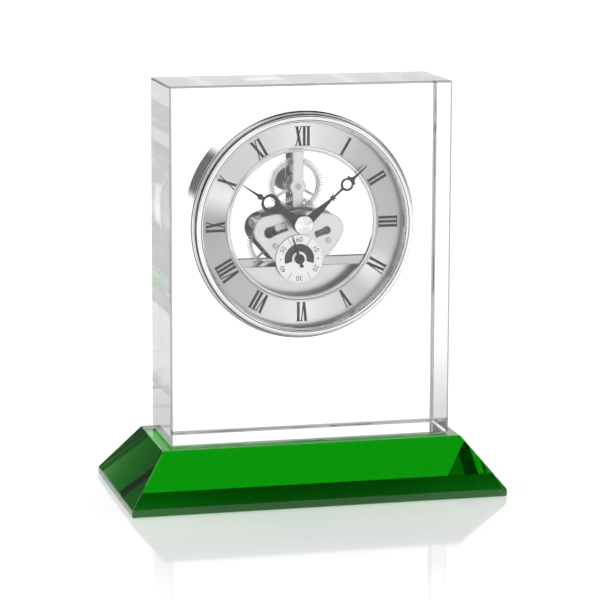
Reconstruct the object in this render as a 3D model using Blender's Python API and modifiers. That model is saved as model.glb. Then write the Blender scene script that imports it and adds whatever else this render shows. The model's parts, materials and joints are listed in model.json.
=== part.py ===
"""Crystal desk clock: a clear slab on a green crystal base, holding a round skeleton quartz insert.

Units are metres, +Z is up, and the dial faces -Y. The origin is the centre of the base's underside.
Sizes below are in millimetres, which the helpers scale. The insert is modelled in the frame of an
empty on the hands' axis at the slab's front face: x to the right, y up, z towards the viewer. A
span is the z of a piece's back and of its front.
"""

import math

import bmesh
import bpy

MM = 0.001
WELD = 1e-6  # metres, joins the points that two faces share
GAP = 0.3  # between pieces that touch on the real clock

# Crystal slab and base
SLAB_WIDTH = 127.0
SLAB_DEPTH = 42.0
SLAB_TOP = 184.0
SLAB_BEVEL = 0.9
BASE_TOP = (135.6, 51.4)
BASE_BOTTOM = (169.6, 84.0)
BASE_HEIGHT = 25.0
BASE_SKIRT = 3.2
BASE_BEVEL = 0.7
BORE_RADIUS = 46.9

# The insert's place: the hands' axis on the slab's front face
AXIS_X = -4.5
AXIS_Z = 122.4

# Insert shell
BEZEL_RADIUS = 50.2
BEZEL_HEIGHT = 7.2
BEZEL_INNER = 46.3
LENS_RADIUS = 46.0
LENS = (4.9, 6.3)
LENS_BEVEL = 0.4
SPACER = (-0.2, 4.6)
SPACER_WALL = 0.7
DIAL = (-1.3, -0.5)
DIAL_OUTER = 45.9
DIAL_INNER = 33.6
TRIM = (-2.2, -0.2)
TRIM_INNER = 32.2
CASE = (-33.0, -1.6)
CASE_OUTER = 45.4
CASE_INNER = 44.6
BAND = (-10.0, -6.5)
BAND_ROOT = 46.2
BAND_RIB = 46.6
REAR_RING = (-34.5, -33.3)
REAR_RING_INNER = 44.4
REAR_RING_OUTER = 46.4
REAR_PANEL = (-32.9, -31.7)
RING_STEPS = 64

# Battery compartment
CHORD = -19.6  # its top, a level line below the hands' axis
HOUSING_RADIUS = 44.3
HOUSING = (-29.0, -9.1)
LOWER_PLATE = (-8.8, -7.8)
BATTERY_RADIUS = 5.2
BATTERY_LENGTH = 44.5
BATTERY_PLACE = (-31.6, -22.5)  # y and z
BATTERY_NUB = (2.4, 1.0)  # radius and length
CONTACT = (0.5, 3.5, 4.0)  # thickness, half height and half depth
CELL_HALF_WIDTH = 23.4
DOOR_HALF_WIDTH = 22.6
DOOR_BOTTOM = -35.4
DOOR_TOP = -26.0
DOOR_HINGE_RADIUS = 0.9
WELL_ROOM = 0.6  # round a wheel's teeth

# Arbors, as seen from the front
CENTRE = (0.0, 0.0)
SECONDS = (0.0, -16.2)
THIRD = (9.6, -7.0)
INTERMEDIATE = (-8.0, -10.9)
ROTOR = (-9.95, 3.0)
SETTING = (0.3, 15.4)
MINUTE_WORKS = (-5.8, -1.55)
ARBOR_RADIUS = 0.55
PIVOT_HOLE = 0.9

# Plates and strut
FRONT_PLATE = (-7.5, -6.3)
BACK_PLATE = (-23.5, -22.3)
STRUT = (-10.4, -9.0)
STRUT_TOP = 43.4
STRUT_HALF_WIDTH = 2.35
STRUT_BOSS = 3.5
PILLAR = (-17.6, -0.2)
PILLAR_RADIUS = 1.1
SCREW_RADIUS = 1.25
SCREW_HEIGHT = 0.7

# Teeth of the train, which meshes in pairs
CENTRE_TEETH, THIRD_PINION = 64, 8
THIRD_TEETH, SECONDS_PINION = 60, 8
SECONDS_TEETH, INTERMEDIATE_PINION = 60, 12
INTERMEDIATE_TEETH, ROTOR_PINION = 72, 12
SETTING_TEETH, SETTING_PINION = 72, 18
CANNON_TEETH, WORKS_TEETH = 12, 36
WORKS_PINION, HOUR_TEETH = 10, 40
TOOTH_TIP = 0.75  # of the module, outside the pitch circle
TOOTH_ROOT = 1.45  # of the module, inside the pitch circle

# Planes of the train, from the front to the back
HOUR_PIPE = (-9.1, 0.7)
HOUR_PLANE = (-9.1, -8.3)
WORKS_PINION_PLANE = (-9.8, -8.1)
CANNON_PLANE = (-10.5, -9.5)
WORKS_PLANE = (-10.4, -9.6)
CENTRE_PLANE = (-12.3, -11.5)
THIRD_PINION_PLANE = (-12.6, -11.2)
SETTING_PINION_PLANE = (-15.6, -14.4)
SETTING_PLANE = (-15.4, -14.6)
THIRD_PLANE = (-17.0, -16.4)
SECONDS_PINION_PLANE = (-17.2, -16.2)
SECONDS_PLANE = (-19.6, -19.0)
INTERMEDIATE_PINION_PLANE = (-19.9, -18.7)
INTERMEDIATE_PLANE = (-21.4, -20.8)
ROTOR_PINION_PLANE = (-21.7, -20.5)
PIVOT_END = -22.9  # inside the back plate's holes

# Motor: a coil beside a stator that surrounds the rotor
COIL_PLACE = (-11.6, -5.2, -14.8)
COIL_SLOPE = math.radians(35)
COIL_HALF_LENGTH = 4.5
COIL_FLANGE = (2.2, 0.6)  # radius and thickness
COIL_WINDING = 1.9
STATOR = (-14.0, -13.0)
STATOR_TAIL = (-15.0, 3.9)
MAGNET = (-14.1, -12.9)
MAGNET_RADIUS = 2.1
BOARD = (-9.6, -8.8)
QUARTZ = (15.6, -1.0)

# Hands, which show eight minutes past ten
MINUTE_ANGLE = math.radians(-48.3)
HOUR_ANGLE = math.radians(-304.0)
SECONDS_ANGLE = math.radians(17.4)
MINUTE_HAND = (2.1, 2.55)
HOUR_HAND = (1.0, 1.45)
SECONDS_HAND = (-4.8, -4.4)
CAP = (2.85, 4.4)
CAP_RADIUS = 4.2

# Seconds dial: an open horseshoe round its bearing
SECONDS_DIAL = (-6.0, -5.4)
SECONDS_DIAL_RADIUS = 10.7
HORSESHOE = (3.3, 6.7)


# ---------------------------------------------------------------- scene helpers


def clear_scene():
    for obj in list(bpy.data.objects):
        bpy.data.objects.remove(obj)


def new_collection(name, hidden=False):
    group = bpy.data.collections.new(name)
    bpy.context.scene.collection.children.link(group)
    group.hide_render = hidden
    return group


def material(name, colour, roughness, metallic=0.0, transmission=0.0, ior=1.5):
    mat = bpy.data.materials.new(name)
    mat.use_nodes = True
    shader = mat.node_tree.nodes["Principled BSDF"]
    shader.inputs["Base Color"].default_value = (*colour, 1.0)
    shader.inputs["Roughness"].default_value = roughness
    shader.inputs["Metallic"].default_value = metallic
    shader.inputs["Transmission Weight"].default_value = transmission
    shader.inputs["IOR"].default_value = ior
    return mat


def add_object(name, mesh, mat, parent=None, place=(0, 0)):
    obj = bpy.data.objects.new(name, mesh)
    parts.objects.link(obj)
    obj.data.materials.append(mat)
    obj.parent = parent
    obj.location = (place[0] * MM, place[1] * MM, 0)
    return obj


def as_tool(obj):
    """Moves a solid to the cutters: it only shapes other solids."""
    parts.objects.unlink(obj)
    cutters.objects.link(obj)
    obj.hide_render = True
    obj.display_type = "WIRE"
    return obj


def boolean(obj, tool, operation):
    modifier = obj.modifiers.new(operation.lower(), "BOOLEAN")
    modifier.operation = operation
    modifier.solver = "EXACT"
    modifier.object = as_tool(tool)


def join(obj, *tools):
    for tool in tools:
        boolean(obj, tool, "UNION")


def cut(obj, *tools):
    for tool in tools:
        boolean(obj, tool, "DIFFERENCE")


def mesh_from(bm, name):
    bmesh.ops.recalc_face_normals(bm, faces=bm.faces)
    mesh = bpy.data.meshes.new(name)
    bm.to_mesh(mesh)
    bm.free()
    return mesh


# ---------------------------------------------------------------- shape helpers


def block(name, low, high, mat, parent=None):
    """A box between two corners."""
    bm = bmesh.new()
    bmesh.ops.create_cube(bm, size=1.0)
    for vert in bm.verts:
        vert.co = [MM * (a + b + 2 * c * (b - a)) / 2 for a, b, c in zip(low, high, vert.co)]
    return add_object(name, mesh_from(bm, name), mat, parent)


def turned(name, profile, mat, parent=None, place=(0, 0), steps=RING_STEPS, closed=True):
    """A profile of (radius, z) points turned about z. An open one starts and ends on the axis."""
    mesh = bpy.data.meshes.new(name)
    points = [(radius * MM, 0, z * MM) for radius, z in profile]
    count = len(points)
    edges = [(i, (i + 1) % count) for i in range(count if closed else count - 1)]
    mesh.from_pydata(points, edges, [])
    obj = add_object(name, mesh, mat, parent, place)
    screw = obj.modifiers.new("turn", "SCREW")
    screw.steps = screw.render_steps = steps
    screw.use_merge_vertices = True
    screw.merge_threshold = WELD
    screw.use_smooth_shade = True
    return obj


def ring_profile(inner, outer, span):
    low, high = span
    return [(inner, high), (outer, high), (outer, low), (inner, low)]


def ring(name, inner, outer, span, mat, steps=RING_STEPS):
    return turned(name, ring_profile(inner, outer, span), mat, insert, steps=steps)


def rod(name, radius, span, mat, place=(0, 0), steps=16):
    low, high = span
    profile = [(0, high), (radius, high), (radius, low), (0, low)]
    return turned(name, profile, mat, insert, place, steps, closed=False)


def prism(name, outlines, span, mat, place=(0, 0)):
    """A flat plate: the first outline is its edge and the others are holes."""
    low, high = span
    curve = bpy.data.curves.new(name, "CURVE")
    curve.dimensions = "2D"
    curve.fill_mode = "BOTH"
    curve.extrude = (high - low) / 2 * MM
    for outline in outlines:
        spline = curve.splines.new("POLY")
        spline.points.add(len(outline) - 1)
        for point, (x, y) in zip(spline.points, outline):
            point.co = (x * MM, y * MM, 0, 1)
        spline.use_cyclic_u = True
    flat = bpy.data.objects.new(name + "_outline", curve)
    parts.objects.link(flat)
    graph = bpy.context.evaluated_depsgraph_get()
    solid = bpy.data.meshes.new_from_object(flat.evaluated_get(graph))
    bpy.data.objects.remove(flat)
    bm = bmesh.new()
    bm.from_mesh(solid)
    bmesh.ops.remove_doubles(bm, verts=bm.verts, dist=WELD)
    bmesh.ops.translate(bm, verts=bm.verts, vec=(0, 0, (low + high) / 2 * MM))
    bpy.data.meshes.remove(solid)
    return add_object(name, mesh_from(bm, name), mat, insert, place)


def circle(radius, centre=(0, 0), steps=24, start=0.0, sweep=2 * math.pi):
    """Points on a circle, or on an arc when sweep is less than a full turn."""
    full = sweep >= 2 * math.pi
    count = steps if full else steps + 1
    angles = [start + sweep * i / steps for i in range(count)]
    return [(centre[0] + radius * math.cos(a), centre[1] + radius * math.sin(a)) for a in angles]


def segment(radius, chord, steps=24):
    """A circle's part below a level chord."""
    reach = math.asin(chord / radius)
    return circle(radius, (0, 0), steps, math.pi - reach, math.pi + 2 * reach)


def wrap(circles, steps=40):
    """The outline of a band stretched round the given (x, y, radius) circles."""
    cloud = sorted({p for x, y, r in circles for p in circle(r, (x, y), steps)})

    def half(points):
        chain = []
        for x, y in points:
            while len(chain) > 1:
                (ax, ay), (bx, by) = chain[-2:]
                if (bx - ax) * (y - ay) - (by - ay) * (x - ax) > WELD:
                    break
                chain.pop()
            chain.append((x, y))
        return chain[:-1]

    return half(cloud) + half(cloud[::-1])


# ---------------------------------------------------------------- gears


def module_of(place_a, place_b, teeth_a, teeth_b):
    return 2 * math.dist(place_a, place_b) / (teeth_a + teeth_b)


def gear_outline(teeth, module, phase):
    """Pointed teeth. One tip lies at the angle called phase."""
    points = []
    for i in range(2 * teeth):
        side = TOOTH_TIP if i % 2 == 0 else -TOOTH_ROOT
        angle = phase + math.pi * i / teeth
        radius = module * (teeth / 2 + side)
        points.append((radius * math.cos(angle), radius * math.sin(angle)))
    return points


def meshing_phase(place_a, teeth_a, phase_a, place_b, teeth_b):
    """The phase at which gear b's gaps face gear a's teeth."""
    way = math.atan2(place_b[1] - place_a[1], place_b[0] - place_a[0])
    part_of_tooth = ((way - phase_a) * teeth_a / (2 * math.pi)) % 1
    return way + math.pi - (0.5 - part_of_tooth) * 2 * math.pi / teeth_b


def spoke_windows(hub, rim, count, spoke_width, turn=0.0, steps=8):
    """The openings between a wheel's spokes. The first spoke lies at the angle called turn."""
    windows = []
    for i in range(count):
        middle = turn + 2 * math.pi * (i + 0.5) / count
        half = math.pi / count
        outer = half - spoke_width / 2 / rim
        inner = half - spoke_width / 2 / hub
        edge = circle(rim, (0, 0), steps, middle - outer, 2 * outer)
        back = circle(hub, (0, 0), 3, middle - inner, 2 * inner)[::-1]
        windows.append(edge + back)
    return windows


def wheel(name, place, arbor_radius, arbor_span, gears, mat):
    """Gears on one arbor. Each gear is (teeth, module, phase, span, windows)."""
    body = rod(name, arbor_radius, arbor_span, mat, place, steps=12)
    for i, (teeth, module, phase, span, windows) in enumerate(gears):
        outline = gear_outline(teeth, module, phase)
        join(body, prism(f"{name}_gear_{i}", [outline, *windows], span, mat, place))
    return body


# ---------------------------------------------------------------- stand


def crystal_slab():
    half = SLAB_WIDTH / 2
    deep = SLAB_DEPTH / 2
    low = (-half, -deep, BASE_HEIGHT + GAP)
    slab = block("crystal_slab", low, (half, deep, SLAB_TOP), CLEAR_CRYSTAL)
    bevel = slab.modifiers.new("polished_edges", "BEVEL")
    bevel.width = SLAB_BEVEL * MM
    bevel.segments = 1
    overshoot = 5
    cut(slab, rod("bore", BORE_RADIUS, (-SLAB_DEPTH - overshoot, overshoot), CLEAR_CRYSTAL, steps=80))


def crystal_base():
    """A truncated pyramid over a low upright skirt."""
    bm = bmesh.new()
    bmesh.ops.create_cube(bm, size=1.0)
    whole = bm.verts[:] + bm.edges[:] + bm.faces[:]
    bmesh.ops.bisect_plane(bm, geom=whole, plane_co=(0, 0, 0), plane_no=(0, 0, 1))
    for vert in bm.verts:
        x, y, z = vert.co
        width, depth = BASE_TOP if z > 0.25 else BASE_BOTTOM
        height = BASE_HEIGHT if z > 0.25 else (BASE_SKIRT if z > -0.25 else 0)
        vert.co = (x * width * MM, y * depth * MM, height * MM)
    base = add_object("green_base", mesh_from(bm, "green_base"), GREEN_CRYSTAL)
    bevel = base.modifiers.new("polished_edges", "BEVEL")
    bevel.width = BASE_BEVEL * MM
    bevel.segments = 1


# ---------------------------------------------------------------- insert shell


def bezel_ring():
    """An L in section: a flange on the slab, and a rolled crest that stands up round the lens."""
    crest = BEZEL_HEIGHT
    outer = BEZEL_RADIUS
    inner = BEZEL_INNER
    lip = crest - 0.6
    profile = [
        (inner - 0.7, lip),
        (inner, crest - 0.15),
        (inner + 1.0, crest),
        (inner + 2.1, crest - 0.4),
        (inner + 2.8, crest - 1.3),
        (outer - 0.8, 4.2),
        (outer - 0.8, 2.2),
        (outer - 0.2, 1.9),
        (outer, 1.5),
        (outer, GAP),
        (inner, GAP),
        (inner, lip),
    ]
    turned("bezel_ring", profile, CHROME, insert)


def front_lens():
    low, high = LENS
    rim = LENS_RADIUS - LENS_BEVEL
    profile = [(0, high), (rim, high), (LENS_RADIUS, high - LENS_BEVEL), (LENS_RADIUS, low), (0, low)]
    turned("front_lens", profile, LENS_GLASS, insert, closed=False)


def dial():
    ring("lens_spacer", LENS_RADIUS - SPACER_WALL, LENS_RADIUS, SPACER, CHROME)
    ring("dial_ring", DIAL_INNER, DIAL_OUTER, DIAL, SATIN_SILVER)
    ring("dial_inner_trim", TRIM_INNER, DIAL_INNER - GAP, TRIM, CHROME)


def case():
    ring("case_wall", CASE_INNER, CASE_OUTER, CASE, CHROME)
    ring("rear_ring", REAR_RING_INNER, REAR_RING_OUTER, REAR_RING, CHROME)
    low, high = BAND
    ribs = 2
    pitch = (high - low) / (2 * ribs)
    band = [(CASE_OUTER + GAP, high), (BAND_ROOT, high)]
    for i in range(ribs):
        band += [(BAND_RIB, high - (2 * i + 1) * pitch), (BAND_ROOT, high - (2 * i + 2) * pitch)]
    band.append((CASE_OUTER + GAP, low))
    turned("rubber_fit_band", band, RUBBER, insert)


def rear_panels():
    """A clear window above the battery compartment, and a panel with the battery door below it."""
    reach = math.asin((CHORD + GAP) / HOUSING_RADIUS)
    window = circle(HOUSING_RADIUS, (0, 0), 44, reach, math.pi - 2 * reach)
    arbor_hole = circle(1.3, SETTING, 12)
    prism("rear_window", [window, arbor_hole], REAR_PANEL, LENS_GLASS)
    hinge_room = DOOR_HINGE_RADIUS + GAP
    slot_low = (-DOOR_HALF_WIDTH - GAP, DOOR_BOTTOM - hinge_room, REAR_PANEL[0] - 1)
    slot_high = (DOOR_HALF_WIDTH + GAP, DOOR_TOP + GAP, REAR_PANEL[1] + 1)
    cover = prism("rear_panel", [segment(HOUSING_RADIUS, CHORD)], REAR_PANEL, SATIN_SILVER)
    cut(cover, block("door_opening", slot_low, slot_high, SATIN_SILVER, insert))


# ---------------------------------------------------------------- battery


def battery_housing():
    """A block under the movement, hollowed for the cell and for the wheels that dip into it."""
    housing = prism("battery_housing", [segment(HOUSING_RADIUS, CHORD)], HOUSING, SATIN_SILVER)
    y, z = BATTERY_PLACE
    room = BATTERY_RADIUS + GAP
    low = (-CELL_HALF_WIDTH, y - room, HOUSING[0] - 2)
    high = (CELL_HALF_WIDTH, y + room, z + room)
    cell = block("battery_cell", low, high, SATIN_SILVER, insert)
    wells = [
        wheel_well("seconds_well", SECONDS, INTERMEDIATE, SECONDS_TEETH, INTERMEDIATE_PINION, SECONDS_PLANE),
        wheel_well("wheel_well", INTERMEDIATE, ROTOR, INTERMEDIATE_TEETH, ROTOR_PINION, INTERMEDIATE_PLANE),
    ]
    cut(housing, cell, *wells)
    prism("lower_plate", [segment(CASE_INNER - GAP, CHORD)], LOWER_PLATE, SATIN_SILVER)


def wheel_well(name, place, mate, teeth, mate_teeth, plane):
    module = module_of(place, mate, teeth, mate_teeth)
    radius = module * (teeth / 2 + TOOTH_TIP) + WELL_ROOM
    return rod(name, radius, (plane[0] - WELL_ROOM, plane[1] + WELL_ROOM), SATIN_SILVER, place, 40)


def battery():
    y, z = BATTERY_PLACE
    half = BATTERY_LENGTH / 2
    nub, nub_length = BATTERY_NUB
    shoulder = half - nub_length
    profile = [
        (0, half),
        (nub, half),
        (nub, shoulder),
        (BATTERY_RADIUS, shoulder),
        (BATTERY_RADIUS, -half),
        (0, -half),
    ]
    cell = turned("battery", profile, BATTERY_SKIN, insert, steps=24, closed=False)
    cell.location = (0, y * MM, z * MM)
    cell.rotation_euler = (0, math.pi / 2, 0)
    thick, tall, deep = CONTACT
    near = half + GAP
    block("contact_plus", (near, y - tall, z - deep), (near + thick, y + tall, z + deep), NICKEL, insert)
    block("contact_minus", (-near - thick, y - tall, z - deep), (-near, y + tall, z + deep), NICKEL, insert)


def battery_door():
    """A flap that turns down and back about a rod along its lower edge."""
    low, high = REAR_PANEL
    middle = (low + high) / 2
    half = DOOR_HALF_WIDTH
    corner = (half, DOOR_TOP - DOOR_BOTTOM, high - middle)
    leaf = block("battery_door", (-half, 0, low - middle), corner, SATIN_SILVER, insert)
    leaf.location = (0, DOOR_BOTTOM * MM, middle * MM)
    hinge = rod("door_hinge", DOOR_HINGE_RADIUS, (-half, half), SATIN_SILVER)
    hinge.location = leaf.location
    hinge.rotation_euler = (0, math.pi / 2, 0)
    join(leaf, hinge)


# ---------------------------------------------------------------- movement frame


def keyhole(place, length, width, head, angle):
    """A slot with a round head at one end."""
    reach = math.asin(width / 2 / head)
    points = circle(head, (0, 0), 12, reach, 2 * math.pi - 2 * reach)
    points += [(length, -width / 2), (length, width / 2)]
    turn = math.cos(angle), math.sin(angle)
    return [(place[0] + x * turn[0] - y * turn[1], place[1] + x * turn[1] + y * turn[0]) for x, y in points]


def front_plate():
    lobes = [(0, -0.2, 5.8), (-13.4, -3.6, 6.9), (13.4, -3.6, 6.9), (*SECONDS, 9.0)]
    holes = [
        circle(2.2, CENTRE, 20),
        circle(1.0, SECONDS, 12),
        keyhole((-13.2, -4.2), 8.0, 4.2, 2.4, math.radians(20)),
        keyhole((12.6, -4.0), 5.4, 2.6, 1.7, math.radians(200)),
    ]
    prism("front_plate", [wrap(lobes), *holes], FRONT_PLATE, SATIN_SILVER)


def back_plate():
    lobes = [(0, -0.2, 5.8), (-13.8, -4.0, 7.0), (13.8, -4.0, 7.0), (-7.0, -12.4, 6.6), (7.0, -12.4, 6.6)]
    lobes.append((*ROTOR, 1.6))
    holes = [circle(PIVOT_HOLE, place, 10) for place in (THIRD, INTERMEDIATE, ROTOR)]
    plate = prism("back_plate", [wrap(lobes), *holes], BACK_PLATE, DARK_CHROME)
    bar = [strut_outline(4.6), circle(1.0, SETTING, 10)]
    join(plate, prism("back_strut", bar, BACK_PLATE, DARK_CHROME))
    rod("frame_pillar", PILLAR_RADIUS, (BACK_PLATE[1] + GAP, FRONT_PLATE[0] - GAP), CHROME, PILLAR)


def strut_outline(low):
    """An upright bar with a round boss on the setting arbor."""
    x, y = SETTING
    half = STRUT_HALF_WIDTH
    reach = math.asin(half / STRUT_BOSS)
    right = circle(STRUT_BOSS, SETTING, 10, reach - math.pi / 2, math.pi - 2 * reach)
    left = circle(STRUT_BOSS, SETTING, 10, reach + math.pi / 2, math.pi - 2 * reach)
    return [(x - half, low), (x + half, low), *right, (x + half, STRUT_TOP), (x - half, STRUT_TOP), *left]


def top_strut():
    prism("top_strut", [strut_outline(6.2)], STRUT, SATIN_SILVER)
    x = SETTING[0]
    half, low = 5.0, 36.5
    back = BACK_PLATE[1] + GAP
    block("top_mount", (x - half, low, back), (x + half, STRUT_TOP, STRUT[0] - GAP), CHROME, insert)


def screws():
    """Cheese-head screws on the face of the frame."""
    seats = {
        "strut_screw": (*SETTING, STRUT[1]),
        "plate_screw_left": (-10.5, -10.4, FRONT_PLATE[1]),
        "plate_screw_right": (13.5, -8.6, FRONT_PLATE[1]),
        "strut_top_screw": (SETTING[0], 40.0, STRUT[1]),
    }
    bevel = 0.25
    for name, (x, y, seat) in seats.items():
        low = seat + GAP
        top = low + SCREW_HEIGHT
        edge = [(SCREW_RADIUS - bevel, top), (SCREW_RADIUS, top - bevel), (SCREW_RADIUS, low)]
        turned(name, [(0, top), *edge, (0, low)], NICKEL, insert, (x, y), 16, closed=False)


def seconds_dial():
    """A small chapter ring with an open horseshoe round its bearing."""
    tongue, recess = HORSESHOE
    start, sweep = math.radians(-18), math.radians(216)
    horseshoe = circle(recess, (0, 0), 24, start, sweep)
    horseshoe += circle(tongue, (0, 0), 16, start, sweep)[::-1]
    outlines = [circle(SECONDS_DIAL_RADIUS, (0, 0), 48), horseshoe, circle(PIVOT_HOLE, (0, 0), 12)]
    prism("seconds_dial", outlines, SECONDS_DIAL, WHITE_PAINT, SECONDS)


# ---------------------------------------------------------------- motor


def motor():
    half = COIL_HALF_LENGTH
    flange, cheek = COIL_FLANGE
    profile = [
        (0, half),
        (flange, half),
        (flange, half - cheek),
        (COIL_WINDING, half - cheek),
        (COIL_WINDING, cheek - half),
        (flange, cheek - half),
        (flange, -half),
        (0, -half),
    ]
    coil = turned("coil", profile, COPPER, insert, steps=20, closed=False)
    coil.location = [value * MM for value in COIL_PLACE]
    coil.rotation_euler = (0, math.pi / 2, COIL_SLOPE)
    outline = wrap([(*ROTOR, 3.4), (*STATOR_TAIL, 1.4)], 24)
    prism("stator", [outline, circle(2.6, ROTOR, 20)], STATOR, NICKEL)
    board = [(9.6, -6.0), (17.6, -7.0), (19.2, -2.6), (15.0, 2.0), (10.4, 2.6)]
    prism("circuit_board", [board], BOARD, BOARD_GREEN)
    rod("quartz_can", 1.2, (-13.0, BOARD[0] - GAP), NICKEL, QUARTZ)


# ---------------------------------------------------------------- train


def going_train():
    """Rotor, intermediate, seconds, third and centre wheels, which the motor drives."""
    centre_module = module_of(CENTRE, THIRD, CENTRE_TEETH, THIRD_PINION)
    third_module = module_of(THIRD, SECONDS, THIRD_TEETH, SECONDS_PINION)
    seconds_module = module_of(SECONDS, INTERMEDIATE, SECONDS_TEETH, INTERMEDIATE_PINION)
    inter_module = module_of(INTERMEDIATE, ROTOR, INTERMEDIATE_TEETH, ROTOR_PINION)
    third_phase = meshing_phase(CENTRE, CENTRE_TEETH, 0, THIRD, THIRD_PINION)
    seconds_phase = meshing_phase(THIRD, THIRD_TEETH, 0, SECONDS, SECONDS_PINION)
    inter_phase = meshing_phase(SECONDS, SECONDS_TEETH, 0, INTERMEDIATE, INTERMEDIATE_PINION)
    rotor_phase = meshing_phase(INTERMEDIATE, INTERMEDIATE_TEETH, 0, ROTOR, ROTOR_PINION)

    centre = ring("centre_wheel", 1.5, 2.7, (-13.0, -11.0), BRASS, steps=20)
    rim = gear_outline(CENTRE_TEETH, centre_module, 0)
    centre_openings = [circle(2.1, (0, 0), 20), *spoke_windows(4.6, 9.0, 4, 1.2)]
    join(centre, prism("centre_disc", [rim, *centre_openings], CENTRE_PLANE, BRASS))

    third_windows = spoke_windows(3.0, 9.6, 4, 1.2, math.radians(23))
    third_gears = [
        (THIRD_PINION, centre_module, third_phase, THIRD_PINION_PLANE, []),
        (THIRD_TEETH, third_module, 0, THIRD_PLANE, third_windows),
    ]
    wheel("third_wheel", THIRD, ARBOR_RADIUS, (PIVOT_END, -10.9), third_gears, STEEL)

    seconds_gears = [
        (SECONDS_PINION, third_module, seconds_phase, SECONDS_PINION_PLANE, []),
        (SECONDS_TEETH, seconds_module, 0, SECONDS_PLANE, []),
    ]
    wheel("seconds_wheel", SECONDS, ARBOR_RADIUS, (-19.9, -5.1), seconds_gears, STEEL)

    inter_windows = spoke_windows(3.0, 9.6, 3, 1.2, math.radians(-18))
    inter_gears = [
        (INTERMEDIATE_PINION, seconds_module, inter_phase, INTERMEDIATE_PINION_PLANE, []),
        (INTERMEDIATE_TEETH, inter_module, 0, INTERMEDIATE_PLANE, inter_windows),
    ]
    wheel("intermediate_wheel", INTERMEDIATE, ARBOR_RADIUS, (PIVOT_END, -18.4), inter_gears, STEEL)

    rotor_gears = [(ROTOR_PINION, inter_module, rotor_phase, ROTOR_PINION_PLANE, [])]
    rotor = wheel("rotor", ROTOR, ARBOR_RADIUS, (PIVOT_END, MAGNET[1] + 0.2), rotor_gears, NICKEL)
    join(rotor, rod("rotor_magnet", MAGNET_RADIUS, MAGNET, NICKEL, ROTOR, 20))


def hand_works():
    """The gears that set the hands and turn the hour hand.

    The centre wheel grips the cannon pinion as a slip clutch, so the setting knob can turn the hands.
    """
    setting_module = module_of(CENTRE, SETTING, SETTING_PINION, SETTING_TEETH)
    works_module = module_of(CENTRE, MINUTE_WORKS, CANNON_TEETH, WORKS_TEETH)
    hour_module = module_of(CENTRE, MINUTE_WORKS, HOUR_TEETH, WORKS_PINION)
    setting_phase = meshing_phase(CENTRE, SETTING_PINION, 0, SETTING, SETTING_TEETH)
    works_phase = meshing_phase(CENTRE, CANNON_TEETH, 0, MINUTE_WORKS, WORKS_TEETH)
    hour_phase = meshing_phase(MINUTE_WORKS, WORKS_PINION, 0, CENTRE, HOUR_TEETH)

    cannon_gears = [
        (CANNON_TEETH, works_module, 0, CANNON_PLANE, []),
        (SETTING_PINION, setting_module, 0, SETTING_PINION_PLANE, []),
    ]
    cannon = wheel("cannon_pinion", CENTRE, 0.8, (-15.9, 1.8), cannon_gears, STEEL)
    join(cannon, rod("clutch_seat", 1.2, (-15.0, -10.0), STEEL))

    works_gears = [
        (WORKS_TEETH, works_module, works_phase, WORKS_PLANE, []),
        (WORKS_PINION, hour_module, 0, WORKS_PINION_PLANE, []),
    ]
    wheel("minute_wheel", MINUTE_WORKS, 0.5, (-10.8, -7.9), works_gears, BRASS)

    hour = ring("hour_wheel", 1.1, 1.6, HOUR_PIPE, BRASS, steps=20)
    outline = gear_outline(HOUR_TEETH, hour_module, hour_phase)
    join(hour, prism("hour_gear", [outline, circle(1.3, (0, 0), 20)], HOUR_PLANE, BRASS))

    collar_teeth, collar_module = 20, 0.42
    setting_windows = spoke_windows(3.0, 9.5, 3, 1.3, math.pi / 2)
    setting_gears = [
        (SETTING_TEETH, setting_module, setting_phase, SETTING_PLANE, setting_windows),
        (collar_teeth, collar_module, 0, (-18.2, -16.4), []),
    ]
    wheel("setting_wheel", SETTING, 0.7, (-33.2, -10.7), setting_gears, STEEL)


def setting_knob():
    """A knurled knob on the back, for setting the hands."""
    grooves, outer, inner = 18, 5.0, 4.6
    knurl = []
    for i in range(4 * grooves):
        radius = outer if i % 4 < 2 else inner
        angle = math.pi * i / 2 / grooves
        knurl.append((radius * math.cos(angle), radius * math.sin(angle)))
    prism("setting_knob", [knurl], (-39.6, -33.5), KNOB_GREY, SETTING)


# ---------------------------------------------------------------- hands


def bulge(centre, radius, neck, steps=9):
    """Stations (along, half width) round a disc on a hand, from neck width back to neck width."""
    reach = math.asin(neck / radius)
    angles = [math.pi - reach - (math.pi - 2 * reach) * i / steps for i in range(steps + 1)]
    return [(centre + radius * math.cos(a), radius * math.sin(a)) for a in angles]


def mirrored(stations, angle):
    """A hand's outline from its half widths, pointing up and then turned."""
    right = [(half, along) for along, half in stations]
    left = [(-half, along) for along, half in reversed(stations)]
    c, s = math.cos(angle), math.sin(angle)
    return [(x * c - y * s, x * s + y * c) for x, y in right + left]


def turned_circle(radius, along, angle, steps=16):
    return circle(radius, (-along * math.sin(angle), along * math.cos(angle)), steps)


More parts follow.
